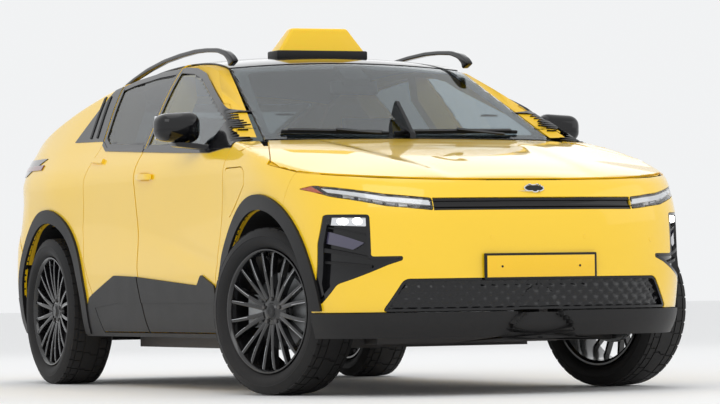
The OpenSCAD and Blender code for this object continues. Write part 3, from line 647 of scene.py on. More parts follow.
window_glass = see_through(
    finish("window_glass", (0.50, 0.57, 0.60), 0.012, change=0.02, bump=0.0, dust=0.0,
           Transmission_Weight=1.0, IOR=1.48), (0.45, 0.5, 0.52))
privacy_glass = see_through(
    finish("privacy_glass", (0.16, 0.19, 0.20), 0.012, change=0.02, bump=0.0, dust=0.0,
           Transmission_Weight=1.0, IOR=1.48), (0.2, 0.22, 0.23))
lamp_glass = see_through(
    finish("lamp_glass", (0.93, 0.94, 0.95), 0.01, change=0.01, bump=0.0, dust=0.0,
           Transmission_Weight=1.0, IOR=1.48), (0.95, 0.95, 0.96))


# ---------------------------------------------------------------- body panels
shut = 0.0025
skin_t = 0.006
core_depth = 0.0085

window_band = [[-1120, 1100], [-740, 1070], [-300, 1087], [700, 1133], [816, 1176],
               [1204, 1185], [1040, 1437], [800, 1474], [500, 1496], [204, 1500], [40, 1488],
               [-128, 1455]]
belt = [[-3000, 1100], [-1120, 1100], [-740, 1070], [-300, 1087], [700, 1133], [816, 1176],
        [1204, 1185], [3000, 1185]]
front_door_line = [[-830, 262], [-830, 512], [-986, 1013], [-1000, 1066], [-1000, 1140],
                   [-500, 1600], [262, 1600], [258, 1490], [146, 1110], [160, 964], [160, 560],
                   [80, 262]]
rear_door_line = [[85, 262], [165, 560], [165, 964], [154, 1110], [267, 1490], [271, 1600],
                  [962, 1600], [952, 1436], [790, 1160], [838, 1000], [866, 880], [905, 760],
                  [895, 600], [790, 440], [700, 262]]
fender_line = [[-1830, 300], [-835, 300], [-835, 512], [-991, 1013], [-1005, 1052],
               [-1174, 1057], [-1174, 1300], [-1830, 1300]]
body_side_line = [[-1004, 245], [-1004, 1040], [-1170, 1062], [-1170, 1700], [2400, 1700],
                  [2400, 772], [1900, 752], [1790, 645], [1640, 479], [1640, 245]]
bumper_line = [[-2400, 0], [-2400, 866], [-2175, 893], [-1700, 942], [-1690, 930],
               [-1600, 780], [-1600, 0]]
rear_bumper_line = [[1640, 200], [1700, 479], [1800, 640], [1905, 745], [2400, 765], [2400, 200]]
hood_low = [[-2400, 872], [-2175, 899], [-1691, 948], [-1597, 965], [-1475, 987], [-1475, 1400],
            [-2400, 1400]]
hood_line = [[-2400, 872], [-2175, 899], [-1691, 948], [-1597, 965], [-1475, 987],
             [-1400, 1000], [-1300, 1010], [-800, 1010], [-800, 1400], [-2400, 1400]]
hood_plan = [[-1000, -2400], [1000, -2400], [1000, -1480], [888, -1475], [697, -985],
             [-697, -985], [-888, -1475], [-1000, -1480]]
hood_rear_plan = [[-888, -1475], [888, -1475], [697, -985], [697, -900], [-697, -900],
                  [-697, -985]]
roof_plan = [[795, -1180], [732, -966], [581, -249], [570, 0], [558, 1262], [-558, 1262],
             [-570, 0], [-581, -249], [-732, -966], [-795, -1180]]
tailgate_plan = [[556, 1266], [600, 1420], [655, 1680], [690, 1980], [690, 2400], [-690, 2400],
                 [-690, 1980], [-655, 1680], [-600, 1420], [-556, 1266]]
tailgate_rear = [[-548, 772], [548, 772], [580, 1030], [584, 1150], [-584, 1150], [-580, 1030]]
rear_window = [[-470, 1196], [-520, 1400], [520, 1400], [470, 1196]]
tail_lamp_line = [[1490, 1118], [2400, 1118], [2400, 1034], [1745, 1034]]
flap_line = [[-1235, 968], [-1205, 984], [-1010, 984], [-1000, 968], [-1000, 850], [-960, 780],
             [-1010, 770], [-1225, 905]]
lamp_front = [[462, 770], [462, 822], [640, 842], [840, 884], [872, 872], [800, 832], [640, 790]]
bar_front = [[-458, 770], [-458, 822], [458, 822], [458, 770]]
corner_front = [[700, 756], [830, 760], [846, 640], [850, 470], [836, 384], [800, 470],
                [640, 548], [588, 566], [588, 582], [700, 582]]
grille_front = [[-583, 488], [583, 488], [662, 352], [-662, 352]]
cladding_line = [[-850, 240], [-821, 473], [-667, 522], [-612, 475], [166, 520], [461, 528],
                 [830, 427], [1000, 240]]

side_rays = Rays("side")
top_rays = Rays("top")
nose_rays = Rays("ring", -1.2)
tail_rays = Rays("ring", 1.2)
rib_rays = Rays("rib", 0.7)


def strip(points, low, high):
    """A closed outline from a line of points down or up to a level."""
    return [Vector((points[0][0], low)) * MM] + [Vector(p) * MM for p in points] \
        + [Vector((points[-1][0], high)) * MM]


below_belt = strip(belt, 0, 0)
above_belt = strip(belt, 2000, 2000)
arch_circles = [[Vector((y + arch_r * math.cos(a), axle_z + arch_r * math.sin(a)))
                 for a in np.linspace(0, 2 * math.pi, 72, endpoint=False)]
                for y in (-axle_y, axle_y)]


def mirrored(points):
    return [[-x, y] for x, y in reversed(points)]


def core(node, material, depth=core_depth, slot=None):
    """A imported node's own shape, with its outer skin drawn in so that a smooth panel covers it."""
    bm = bmesh.new()
    bm.from_mesh(frame["nodes"][node].data)
    bmesh.ops.remove_doubles(bm, verts=bm.verts, dist=1e-5)
    p = coords(bm)
    for _ in range(3):
        out = outside(p) + depth * 1000
        push = np.where(out > 0, out, 0)[:, None] * MM
        p = p - outward(p) * push
    move_to(bm, p)
    body = frame["nodes"][node]["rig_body"]
    piece = finish_piece(node + "_core", bm, body, material, smooth=25, replaces=(node,),
                         slot=slot)
    return piece


def paint_panels():
    hood = body_sheet(top_rays, (-0.93, 0.93), (-2.19, -0.975), 0.014,
                      [("z", grown(rounded(hood_plan, 6), -shut), True),
                       ("x", grown(rounded(hood_line, 4), -shut), True)])
    wall(finish_piece("hood_skin", hood, "hood", yellow_paint, slot="yellow_paint"), skin_t)

    bumper_cuts = [("x", rounded(bumper_line, 4), True),
                   ("y", rounded([[-1000, 352], [-1000, 1000], [1000, 1000], [1000, 352]], 1),
                    True),
                   ("x", arch_circles[0], False)]
    holes = [("y", grown(rounded(shape, r), 0.0006), False)
             for shape, r in ((lamp_front, 8), (mirrored(lamp_front), 8), (bar_front, 2),
                              (corner_front, 12), (mirrored(corner_front), 12),
                              (grille_front, 22))]
    bumper = body_sheet(nose_rays, (-1.2, 1.2), (0.33, 0.96), 0.013, bumper_cuts + holes)
    wall(finish_piece("front_bumper_skin", bumper, "body", yellow_paint, slot="yellow_paint"),
         0.012, 0.003, 3)

    fender_cuts = [("x", grown(rounded(fender_line, 4), -0.0006), True),
                   ("x", grown(rounded(bumper_line, 4), 0.0012), False),
                   ("x", grown(rounded(hood_low, 2), shut), False),
                   ("z", grown(rounded(hood_rear_plan, 2), shut), False),
                   ("x", arch_circles[0], False)]
    fender = body_sheet(rib_rays, (-1.84, -0.83), (0.7, 2.1), 0.013, fender_cuts)
    wall(finish_piece("front_fender_skin_left", fender, "body", yellow_paint,
                      slot="yellow_paint"), skin_t)
    fender = body_sheet(rib_rays, (-1.84, -0.83), (0.7, 2.1), 0.013,
                        fender_cuts + [("x", grown(rounded(flap_line, 14), shut), False)])
    wall(finish_piece("front_fender_skin_right", flipped(fender), "body", yellow_paint,
                      slot="yellow_paint"), skin_t)
    flap = body_sheet(rib_rays, (-1.25, -0.95), (1.2, 1.6), 0.008,
                      [("x", grown(rounded(flap_line, 14), -shut), True)])
    wall(finish_piece("charge_flap_skin", flipped(flap), "charge_flap", yellow_paint,
                      slot="yellow_paint"), 0.004)

    side_cuts = [("x", grown(rounded(body_side_line, 4), -0.0006), True),
                 ("z", grown(rounded(roof_plan, 4), 0.0008), False),
                 ("z", grown(rounded(tailgate_plan, 4), shut), False),
                 ("x", grown(rounded(front_door_line, 8), shut), False),
                 ("x", grown(rounded(rear_door_line, 8), shut), False),
                 ("x", arch_circles[1], False),
                 ("x", grown(rounded(tail_lamp_line, 4), 0.0008), False)]
    side = body_sheet(rib_rays, (-1.175, 1.905), (0.4, 2.2), 0.013, side_cuts)
    corner = body_sheet(tail_rays, (math.pi - 1.0, math.pi - 0.2), (0.74, 1.16), 0.013,
                        [("x", rounded([[1905, 700], [2300, 700], [2300, 1200], [1905, 1200]], 1),
                          True),
                         ("x", grown(rounded(body_side_line, 4), -0.0006), True),
                         ("z", rounded([[0, 1800], [690, 1800], [690, 2120], [0, 2120]], 1),
                          False),
                         ("y", grown(rounded(tailgate_rear, 10), shut), False),
                         ("x", grown(rounded(tail_lamp_line, 4), 0.0008), False)])
    for name, sheet in (("body_side_skin", side), ("rear_corner_skin", corner)):
        for end, shape in (("_right", flipped(sheet)), ("_left", sheet)):
            wall(finish_piece(name + end, shape, "body", yellow_paint, slot="yellow_paint"),
                 skin_t, 0.0014)

    for door, line, span in (("front_door", front_door_line, (-1.03, 0.27)),
                             ("rear_door", rear_door_line, (0.06, 0.98))):
        outline = grown(rounded(line, 8), -shut)
        lower = body_sheet(side_rays, span, (0.25, 1.2), 0.013,
                           [("x", outline, True), ("x", below_belt, True)])
        for end, shape in (("_right", flipped(lower)), ("_left", lower)):
            wall(finish_piece(door + "_skin" + end, shape, door + end, yellow_paint,
                              slot="yellow_paint"), skin_t)

    gate = body_sheet(top_rays, (-0.7, 0.7), (1.26, 2.2), 0.013,
                      [("z", grown(rounded(tailgate_plan, 5), -shut), True),
                       ("y", rounded(rear_window, 40), False)])
    bmesh.ops.delete(gate, geom=[v for v in gate.verts if v.co.z < 0.7], context="VERTS")
    wall(finish_piece("tailgate_top_skin", gate, "tailgate", yellow_paint,
                      slot="yellow_paint"), skin_t)
    gate = body_sheet(tail_rays, (math.pi - 0.66, math.pi + 0.66), (0.76, 1.13), 0.013,
                      [("y", grown(rounded(tailgate_rear, 10), -shut), True)])
    wall(finish_piece("tailgate_rear_skin", gate, "tailgate", yellow_paint,
                      slot="yellow_paint"), skin_t)

    rear_cuts = [("x", rounded(rear_bumper_line, 6), True), ("x", arch_circles[1], False)]
    rear = body_sheet(tail_rays, (math.pi - 1.25, math.pi + 1.25), (0.43, 0.78), 0.014, rear_cuts)
    wall(finish_piece("rear_bumper_skin", rear, "body", yellow_paint, slot="yellow_paint"),
         0.012, 0.003, 3)
    rear = body_sheet(tail_rays, (math.pi - 1.25, math.pi + 1.25), (0.21, 0.428), 0.014,
                      rear_cuts, lift=0.004)
    wall(finish_piece("rear_valance_skin", rear, "body", black_satin, slot="black_satin"),
         0.014, 0.003, 3)


paint_panels()
# The yellow panels' cores take the darker yellow: painted shade where they show in the gaps between
# panels.
for node, material in (("hood", inner_paint_with_painted_shade), ("front_bumper", black_matt),
                       ("front_fenders", inner_paint_with_painted_shade), ("charge_flap", inner_paint_with_painted_shade),
                       ("body_sides", inner_paint_with_painted_shade), ("front_door_left", inner_paint_with_painted_shade),
                       ("front_door_right", inner_paint_with_painted_shade), ("rear_door_left", inner_paint_with_painted_shade),
                       ("rear_door_right", inner_paint_with_painted_shade), ("tailgate", inner_paint_with_painted_shade),
                       ("rear_bumper", black_matt)):
    core(node, material)


# ---------------------------------------------------------------- glass, roof and frames
frame_width = 0.027


def window_hole(line):
    """The outline of a door's glass opening."""
    bm = bmesh.new()
    bmesh.ops.create_grid(bm, x_segments=2, y_segments=2, size=3)
    for outline in (rounded(line, 2), rounded(window_band, 2)):
        trim_to(bm, "z", outline, True, 9)
    rim = [e for e in bm.edges if e.is_boundary]
    loop, edge = [], rim[0]
    vert = edge.verts[0]
    for _ in range(len(rim)):
        loop.append(vert.co.xy.copy())
        vert = edge.other_vert(vert)
        edge = next(e for e in vert.link_edges if e.is_boundary and e is not edge)
    bm.free()
    tidy = [p for i, p in enumerate(loop)
            if (p - loop[i - 1]).normalized().dot((loop[(i + 1) % len(loop)] - p).normalized())
            < 0.9999]
    return rounded([[p.x / MM, p.y / MM] for p in grown(tidy, -frame_width)], 14)


def sides(name, bm, body, material, thickness=skin_t, edge=0.0014, doors=False, segments=2,
          **kept):
    """The same sheet as two pieces, on the car's right and left."""
    for end, shape in (("_right", flipped(bm)), ("_left", bm)):
        wall(finish_piece(name + end, shape, body + end if doors else body, material, **kept),
             thickness, edge, segments)


def make_glass():
    for door, line, span, glass in (("front_door", front_door_line, (-1.03, 0.27), window_glass),
                                    ("rear_door", rear_door_line, (0.06, 0.98), privacy_glass)):
        outline = grown(rounded(line, 8), -shut)
        hole = window_hole(line)
        upper = body_sheet(side_rays, span, (1.03, 1.52), 0.012,
                           [("x", outline, True), ("x", above_belt, True),
                            ("x", grown(rounded(window_band, 8), 0.0), True),
                            ("x", hole, False)], lift=-0.0006)
        sides(door + "_frame", upper, door, black_gloss, 0.014, 0.002, True)
        pane = body_sheet(side_rays, span, (1.03, 1.52), 0.02,
                          [("x", grown(hole, 0.004), True)], lift=-0.006)
        for end, shape in (("_right", flipped(pane)), ("_left", pane)):
            piece = finish_piece(door.replace("door", "glass") + end + "_pane", shape, door + end,
                                 glass, replaces=(door.replace("door", "glass") + end,))
            wall(piece, 0.004, 0)
        below_moulding = strip([[y, z - 9] for y, z in belt], 0, 0)
        above_moulding = strip([[y, z + 7] for y, z in belt], 2000, 2000)
        moulding = body_sheet(side_rays, span, (1.03, 1.25), 0.012,
                              [("x", outline, True), ("x", above_moulding, False),
                               ("x", below_moulding, False)], lift=0.0035)
        sides(door + "_belt_moulding", moulding, door, black_gloss,
              0.006, 0.0015, True)

    quarter = body_sheet(rib_rays, (0.78, 1.23), (0.7, 1.3), 0.012,
                         [("x", rounded(window_band, 8), True),
                          ("x", grown(rounded(rear_door_line, 8), shut + 0.001), False),
                          ("x", rounded([[700, 1000], [700, 1700], [1300, 1700], [1300, 1000]], 1),
                           True)], lift=0.0018)
    sides("rear_pillar_panel", quarter, "body", black_gloss, 0.005, 0.0015)
    for number, start in enumerate((0.0, 0.085)):
        slat = body_sheet(rib_rays, (0.85, 1.2), (0.7, 1.3), 0.01,
                          [("x", rounded([[905 + start * 1000, 1196], [925 + start * 1000, 1196],
                                          [1052 + start * 760, 1400], [1034 + start * 760, 1408]],
                                         4), True)], lift=0.006)
        sides("rear_pillar_slat_%d" % number, slat, "body", black_satin, 0.005, 0.0012)

    screen_plan = grown(rounded(roof_plan, 30), -0.003)
    front_half = rounded([[-702, -962], [702, -962], [579, -252], [-579, -252]], 1)
    screen = body_sheet(top_rays, (-0.75, 0.75), (-0.97, -0.25), 0.016,
                        [("z", screen_plan, True), ("z", front_half, True)], lift=-0.001)
    wall(finish_piece("windscreen_pane", screen, "body", window_glass,
                      replaces=("windscreen",)), 0.005, 0)
    clear = rounded([[-655, -905], [655, -905], [520, -315], [90, -315], [72, -262], [-72, -262],
                     [-90, -315], [-520, -315]], 40)
    frit = body_sheet(top_rays, (-0.75, 0.75), (-0.97, -0.25), 0.014,
                      [("z", screen_plan, True), ("z", front_half, True), ("z", clear, False)],
                      lift=-0.0115)
    wall(finish_piece("windscreen_black_border", frit, "body", black_gloss), 0.001, 0)
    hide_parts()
    roof = body_sheet(top_rays, (-0.6, 0.6), (-0.25, 1.262), 0.016,
                      [("z", grown(rounded(roof_plan, 3), -0.001), True),
                       ("z", rounded([[-900, -247], [900, -247], [900, 1259], [-900, 1259]], 1),
                        True)])
    wall(finish_piece("roof_skin", roof, "body", black_gloss, slot="black_gloss"), skin_t)
    core("roof_panel", cabin_grey)
    hole = rounded(rear_window, 40)
    pane = body_sheet(top_rays, (-0.56, 0.56), (1.3, 2.06), 0.02,
                      [("y", grown(hole, 0.006), True)], lift=-0.006)
    wall(finish_piece("tailgate_pane", pane, "tailgate", privacy_glass,
                      replaces=("tailgate_glass",)), 0.005, 0)
    border = body_sheet(top_rays, (-0.56, 0.56), (1.3, 2.06), 0.014,
                        [("y", grown(hole, -0.001), True), ("y", grown(hole, -0.035), False)],
                        lift=-0.011)
    wall(finish_piece("tailgate_black_border", border, "tailgate", black_gloss), 0.001, 0)


make_glass()


# ---------------------------------------------------------------- trims and cladding
def ring_outline(middle, radius, count=96):
    return [Vector((middle + radius * math.cos(a), axle_z + radius * math.sin(a)))
            for a in np.linspace(0, 2 * math.pi, count, endpoint=False)]


def make_trims():
    for name, middle, low in (("front", -axle_y, 0.36), ("rear", axle_y, 0.253)):
        bm = body_sheet(rib_rays, (middle - 0.52, middle + 0.52), (0.75, 2.5), 0.0125,
                        [("x", ring_outline(middle, arch_r + 0.066), True),
                         ("x", ring_outline(middle, arch_r), False),
                         ("x", rounded([[-3000, low * 1000], [3000, low * 1000], [3000, 2000],
                                        [-3000, 2000]], 1), True)], lift=0.0125)
        sides("arch_trim_" + name, bm, "body", black_satin, 0.02, 0.005, segments=3,
              replaces=("arch_trims",), slot="black_satin")
    doors = (("front_door", front_door_line, (-1.03, 0.27)),
             ("rear_door", rear_door_line, (0.06, 0.98)))
    facet = [[-3000, 392], [-640, 396], [420, 400], [830, 372], [3000, 350]]
    for door, line, span in doors:
        outline = grown(rounded(line, 8), -shut - 0.001)
        for part, cut, lift in (("upper", strip(facet, 2000, 2000), 0.009),
                                ("lower", strip(facet, 0, 0), 0.006)):
            bm = body_sheet(side_rays, span, (0.25, 0.56), 0.012,
                            [("x", outline, True), ("x", rounded(cladding_line, 10), True),
                             ("x", cut, True)], lift=lift)
            sides("%s_cladding_%s" % (door, part), bm, door, black_satin, 0.009, 0.003, True,
                  slot="black_satin")
    sill = body_sheet(side_rays, (-0.86, 0.99), (0.242, 0.54), 0.012,
                      [("x", rounded(cladding_line, 10), True),
                       ("x", grown(rounded(front_door_line, 8), shut), False),
                       ("x", grown(rounded(rear_door_line, 8), shut), False),
                       ("x", arch_circles[0], False), ("x", arch_circles[1], False)], lift=0.006)
    sides("sill_cladding", sill, "body", black_satin, 0.01, 0.0025, slot="black_satin")

    lip = body_sheet(nose_rays, (-1.2, 1.2), (0.247, 0.349), 0.014,
                     [("x", arch_circles[0], False), ("x", rounded(bumper_line, 2), True)],
                     lift=0.010)
    bmesh.ops.remove_doubles(lip, verts=lip.verts, dist=0.005)
    for v in lip.verts:
        belly = 1 - abs(v.co.z - 0.298) / 0.051
        v.co.y -= 0.004 * belly
    wall(finish_piece("front_valance_lip", lip, "body", black_satin,
                      replaces=("front_valance",), slot="black_satin"), 0.02, 0.003, 2)


make_trims()


# ---------------------------------------------------------------- face
def make_face():
    depth = 0.022
    mesh_sheet = body_sheet(nose_rays, (-0.62, 0.62), (0.345, 0.495), 0.0075,
                            [("y", grown(rounded(grille_front, 22), 0.004), True)], lift=-depth)
    for v in mesh_sheet.verts:
        row = v.co.z / 0.026
        shift = 0.5 * (math.floor(row) % 2)
        along = v.co.x / 0.052 + shift
        scale_shape = abs(along - math.floor(along) - 0.5) * 2
        rise = (row - math.floor(row))
        v.co.y -= 0.012 * max(0.0, 1 - scale_shape ** 2) * (1 - rise) ** 0.7
    wall(finish_piece("lower_grille_mesh", mesh_sheet, "body", black_gloss, smooth=60,
                      replaces=("lower_grille",)), 0.004, 0)
    frame_in = body_sheet(nose_rays, (-0.66, 0.66), (0.34, 0.5), 0.012,
                          [("y", grown(rounded(grille_front, 22), -0.001), True),
                           ("y", grown(rounded(grille_front, 22), -0.011), False)], lift=-0.003)
    wall(finish_piece("lower_grille_frame", frame_in, "body", black_gloss), 0.03, 0.002)
    bar = body_sheet(nose_rays, (-0.5, 0.5), (0.76, 0.83), 0.012,
                     [("y", grown(rounded(bar_front, 2), -0.001), True)], lift=-0.004)
    for v in bar.verts:
        v.co.y += 0.01 * max(0.0, 1 - abs(v.co.z - 0.797) / 0.02)
    wall(finish_piece("nose_bar", bar, "body", black_gloss, replaces=("grille_bar",)), 0.012,
         0.002)
    for low, high, number in ((0.783, 0.7855, 0), (0.808, 0.8105, 1)):
        line = body_sheet(nose_rays, (-0.45, 0.45), (low, high), 0.004, [], lift=0.0005)
        wall(finish_piece("nose_bar_line_%d" % number, line, "body", black_satin), 0.006, 0.0006)

    for end, flip in (("_left", False), ("_right", True)):
        def put(name, bm, material, thickness, edge=0.0015, **kept):
            shape = flipped(bm) if flip else bm
            return wall(finish_piece(name + end, shape, "body", material, **kept), thickness,
                        edge)

        lamp = grown(rounded(lamp_front, 8), -0.0006)
        put("headlamp_bowl", body_sheet(nose_rays, (0.3, 1.2), (0.75, 0.9), 0.01,
                                        [("y", lamp, True), ("x", rounded(bumper_line, 4), True)],
                                        lift=-0.034), black_gloss, 0.004, 0)
        blade = rounded([[470, 792], [470, 813], [640, 832], [800, 866], [826, 872], [812, 854],
                         [640, 812]], 4)
        put("daylight_blade", body_sheet(nose_rays, (0.3, 1.2), (0.75, 0.9), 0.008,
                                         [("y", blade, True)], lift=-0.006), lamp_white, 0.012)
        for number in range(5):
            x = 560 + number * 46
            z = 800 + number * 9.5
            cell_line = rounded([[x, z - 8], [x + 33, z - 2], [x + 33, z + 14], [x, z + 8]], 5)
            put("headlamp_cell_%d" % number,
                body_sheet(nose_rays, (0.3, 1.2), (0.75, 0.9), 0.005, [("y", cell_line, True)],
                           lift=-0.022), chrome if number % 2 else lamp_white, 0.01, 0.002)
        outer = rounded([[822, 850], [846, 882], [870, 874], [846, 856]], 4)
        put("turn_lens", body_sheet(nose_rays, (0.6, 1.35), (0.8, 0.9), 0.006,
                                    [("y", outer, True), ("x", rounded(bumper_line, 4), True)],
                                    lift=-0.003), amber_lens, 0.01)
        put("headlamp_lens", body_sheet(nose_rays, (0.3, 1.3), (0.75, 0.9), 0.01,
                                        [("y", lamp, True), ("x", rounded(bumper_line, 4), True)],
                                        lift=-0.0005), lamp_glass, 0.003, 0)

        pod = grown(rounded(corner_front, 12), -0.0006)
        arch_clear = ring_outline(-axle_y, arch_r + 0.012)
        pod_cuts = [("y", pod, True), ("x", arch_clear, False),
                    ("x", rounded(bumper_line, 4), True)]
        put("corner_pod", body_sheet(nose_rays, (0.4, 1.3), (0.37, 0.78), 0.01, pod_cuts,
                                     lift=-0.026), black_gloss, 0.006, 0.0015)
        put("corner_pod_rim", body_sheet(nose_rays, (0.4, 1.3), (0.37, 0.78), 0.01,
                                         pod_cuts + [("y", grown(pod, -0.012), False)],
                                         lift=-0.001), black_gloss, 0.028, 0.002)
        fins = (
            ("fin", [[594, 569], [706, 570], [838, 604], [838, 622], [706, 581], [594, 578]],
             -0.004, black_satin, 0.022),
            ("fin_low", [[700, 534], [836, 556], [836, 567], [700, 546]], -0.012, black_satin,
             0.016),
            ("facet", [[724, 640], [826, 690], [832, 640], [760, 612]], -0.014, violet_gloss,
             0.012),
            ("fin_high", [[712, 668], [828, 704], [828, 710], [712, 676]], -0.010, black_satin,
             0.014),
        )
        for part, shape, lift, material, thickness in fins:
            put("corner_pod_" + part,
                body_sheet(nose_rays, (0.4, 1.3), (0.37, 0.78), 0.008,
                           [("y", rounded(shape, 3), True), ("x", arch_clear, False)], lift=lift),
                material, thickness)
        put("fog_bowl", body_sheet(nose_rays, (0.4, 1.3), (0.37, 0.78), 0.006,
                                   [("y", rounded([[712, 708], [826, 716], [822, 752], [712, 748]],
                                                  10), True)], lift=-0.014), chrome, 0.008)
        for number, x in enumerate((742, 786)):
            round_lamp = [Vector((x + 13 * math.cos(a), 731 + 13 * math.sin(a))) * MM
                          for a in np.linspace(0, 2 * math.pi, 24, endpoint=False)]
            put("fog_lens_%d" % number,
                body_sheet(nose_rays, (0.4, 1.3), (0.37, 0.78), 0.004, [("y", round_lamp, True)],
                           lift=-0.006), lamp_glow, 0.009)

    for number, (x, z) in enumerate(((-560, 640), (-215, 655), (215, 655), (560, 640))):
        disc = [Vector((x + 9 * math.cos(a), z + 9 * math.sin(a))) * MM
                for a in np.linspace(0, 2 * math.pi, 24, endpoint=False)]
        dot = body_sheet(nose_rays, (-0.7, 0.7), (0.6, 0.7), 0.005, [("y", disc, True)],
                         lift=0.0012)
        wall(finish_piece("parking_sensor_%d" % number, dot, "body", yellow_paint), 0.004,
             0.0006)
    oval = [Vector((46 * math.cos(a), 856 + 17 * math.sin(a))) * MM
            for a in np.linspace(0, 2 * math.pi, 48, endpoint=False)]
    inner = grown(oval, -0.004)
    badge = body_sheet(nose_rays, (-0.2, 0.2), (0.82, 0.885), 0.004,
                       [("y", oval, True), ("y", inner, False)], lift=0.005)
    wall(finish_piece("nose_badge", badge, "body", chrome), 0.006, 0.001)
    badge = body_sheet(nose_rays, (-0.2, 0.2), (0.82, 0.885), 0.004, [("y", inner, True)],
                       lift=0.0035)
    wall(finish_piece("nose_badge_field", badge, "body", black_gloss), 0.004, 0.0006)


make_face()


def make_tail():
    keep_left = rounded([[586, 1400], [1000, 1400], [1000, 2400], [586, 2400]], 1)
    bm = body_sheet(tail_rays, (math.pi - 1.33, math.pi - 0.45), (1.03, 1.12), 0.01,
                    [("x", grown(rounded(tail_lamp_line, 4), -0.0008), True),
                     ("z", keep_left, True)], lift=0.004)
    sides("tail_lamp_lens", bm, "body", dark_lens, 0.02, 0.004, segments=3,
          replaces=("tail_lamps",))
    glow = body_sheet(tail_rays, (math.pi - 1.25, math.pi - 0.5), (1.06, 1.085), 0.01,
                      [("z", keep_left, True)], lift=0.0062)
    sides("tail_lamp_band", glow, "body", red_lens, 0.006, 0.002)
    bar = body_sheet(tail_rays, (math.pi - 0.62, math.pi + 0.62), (1.045, 1.1), 0.012,
                     [("y", rounded([[-560, 1048], [560, 1048], [560, 1098], [-560, 1098]], 14),
                       True)], lift=0.003)
    wall(finish_piece("tailgate_lamp_bar", bar, "tailgate", dark_lens), 0.008, 0.002)
    recess = body_sheet(tail_rays, (math.pi - 0.4, math.pi + 0.4), (0.78, 0.86), 0.012,
                        [("y", rounded([[-300, 800], [300, 800], [300, 835], [-300, 835]], 12),
                          True)], lift=0.002)
    wall(finish_piece("tailgate_grip", recess, "tailgate", black_satin), 0.006, 0.0015)


make_tail()


# ---------------------------------------------------------------- wheels
def wheel_places():
    """The four wheels: name ending, body, and where a wheel about the X axis goes."""
    ball = half_track - 0.04
    half_turn = Matrix.Rotation(math.pi, 4, "Z")
    places = []
    for side, end in ((1, "left"), (-1, "right")):
        face = Matrix() if side > 0 else half_turn
        places.append(("front_" + end, "front_wheel_" + end,
                       Matrix.Translation((side * ball, -axle_y, 0))
                       @ Matrix.Rotation(steer, 4, "Z")
                       @ Matrix.Translation((side * 0.04, 0, axle_z)) @ face))
        places.append(("rear_" + end, "rear_wheel_" + end,
                       Matrix.Translation((side * half_track, axle_y, axle_z)) @ face))
    return places


def spun(profile, steps, closed=True):
    """A ring about the X axis from a profile of (x, radius) points."""
    bm = bmesh.new()
    verts = [bm.verts.new((x, 0, r)) for x, r in profile]
    edges = [bm.edges.new((a, b)) for a, b in zip(verts, verts[1:])]
    if closed:
        edges.append(bm.edges.new((verts[-1], verts[0])))
    bmesh.ops.spin(bm, geom=verts + edges, cent=(0, 0, 0), axis=(1, 0, 0),
                   angle=2 * math.pi, steps=steps, use_merge=True)
    bmesh.ops.remove_doubles(bm, verts=bm.verts, dist=1e-6)
    bmesh.ops.recalc_face_normals(bm, faces=bm.faces)
    return bm


def make_tyre():
    """Tread blocks between grooves, shoulders, and ribs on the sidewall."""
    wide, steps, groove = 0.1175, 320, 0.0045
    low = tyre_r - groove
    bead = 0.268
    outer = [(wide - 0.028, bead), (wide - 0.012, bead + 0.012), (wide - 0.003, bead + 0.024),
             (wide, bead + 0.040), (wide - 0.0015, bead + 0.050), (wide, bead + 0.0525),
             (wide - 0.0015, bead + 0.055), (wide - 0.006, low - 0.022),
             (wide - 0.013, low - 0.009)]
    tread = [0.0990, 0.0800, 0.0740, 0.0420, 0.0350, 0.0045]
    tread = tread + [-x for x in reversed(tread)]
    crown = [(x, low - 0.0035 * (abs(x) / 0.1) ** 3) for x in tread]
    profile = outer + crown + [(-x, r) for x, r in reversed(outer)]
    bm = spun(profile, steps)
    blocks = []
    for f in bm.faces:
        c = f.calc_center_median()
        radius = math.hypot(c.y, c.z)
        if radius < low - 0.012 or abs(c.x) > 0.1:
            continue
        band = abs(c.x)
        if 0.0740 < band < 0.0800 or 0.0350 < band < 0.0420:
            continue
        turn = int(round((math.atan2(c.y, c.z) / (2 * math.pi) + 1) * steps + c.x * 60 + 0.5))
        if band < 0.0350 and turn % 16 == 0 or 0.042 < band < 0.074 and turn % 8 == 1 \
                or band > 0.08 and turn % 8 == 2:
            continue
        blocks.append(f)
    new = bmesh.ops.extrude_face_region(bm, geom=blocks)["geom"]
    bmesh.ops.delete(bm, geom=[f for f in blocks if f.is_valid], context="FACES_ONLY")
    for v in new:
        if isinstance(v, bmesh.types.BMVert):
            radial = Vector((0, v.co.y, v.co.z)).normalized()
            v.co += radial * groove
    bmesh.ops.recalc_face_normals(bm, faces=bm.faces)
    return bm


def add_blade(bm, angle, root, tip, wide, thick, skew):
    """One spoke from hub to rim: rings of a chamfered section, swept round and bridged."""
    section = [(0.5, 0.3), (0.5, -0.3), (0.44, -0.5), (-0.5, -0.42), (-0.5, 0.42), (0.44, 0.5)]
    rings = []
    for k in range(8):
        t = k / 7
        radius = root[0] + (tip[0] - root[0]) * t
        face = root[1] + (tip[1] - root[1]) * t + 0.006 * math.sin(math.pi * t)
        swing = angle + skew * t
        width = wide[0] + (wide[1] - wide[0]) * t
        verts = []
        for deep, across in section:
            y = across * width
            verts.append(bm.verts.new((face + (deep - 0.5) * thick * (1 - 0.25 * t),
                                       math.sin(swing) * radius + math.cos(swing) * y,
                                       math.cos(swing) * radius - math.sin(swing) * y)))
        rings.append([bm.edges.new((p, q)) for p, q in zip(verts, verts[1:] + verts[:1])])
    for inner, outer in zip(rings, rings[1:]):
        bmesh.ops.bridge_loops(bm, edges=inner + outer)
    for ring in (rings[0], rings[-1]):
        bmesh.ops.contextual_create(bm, geom=ring)


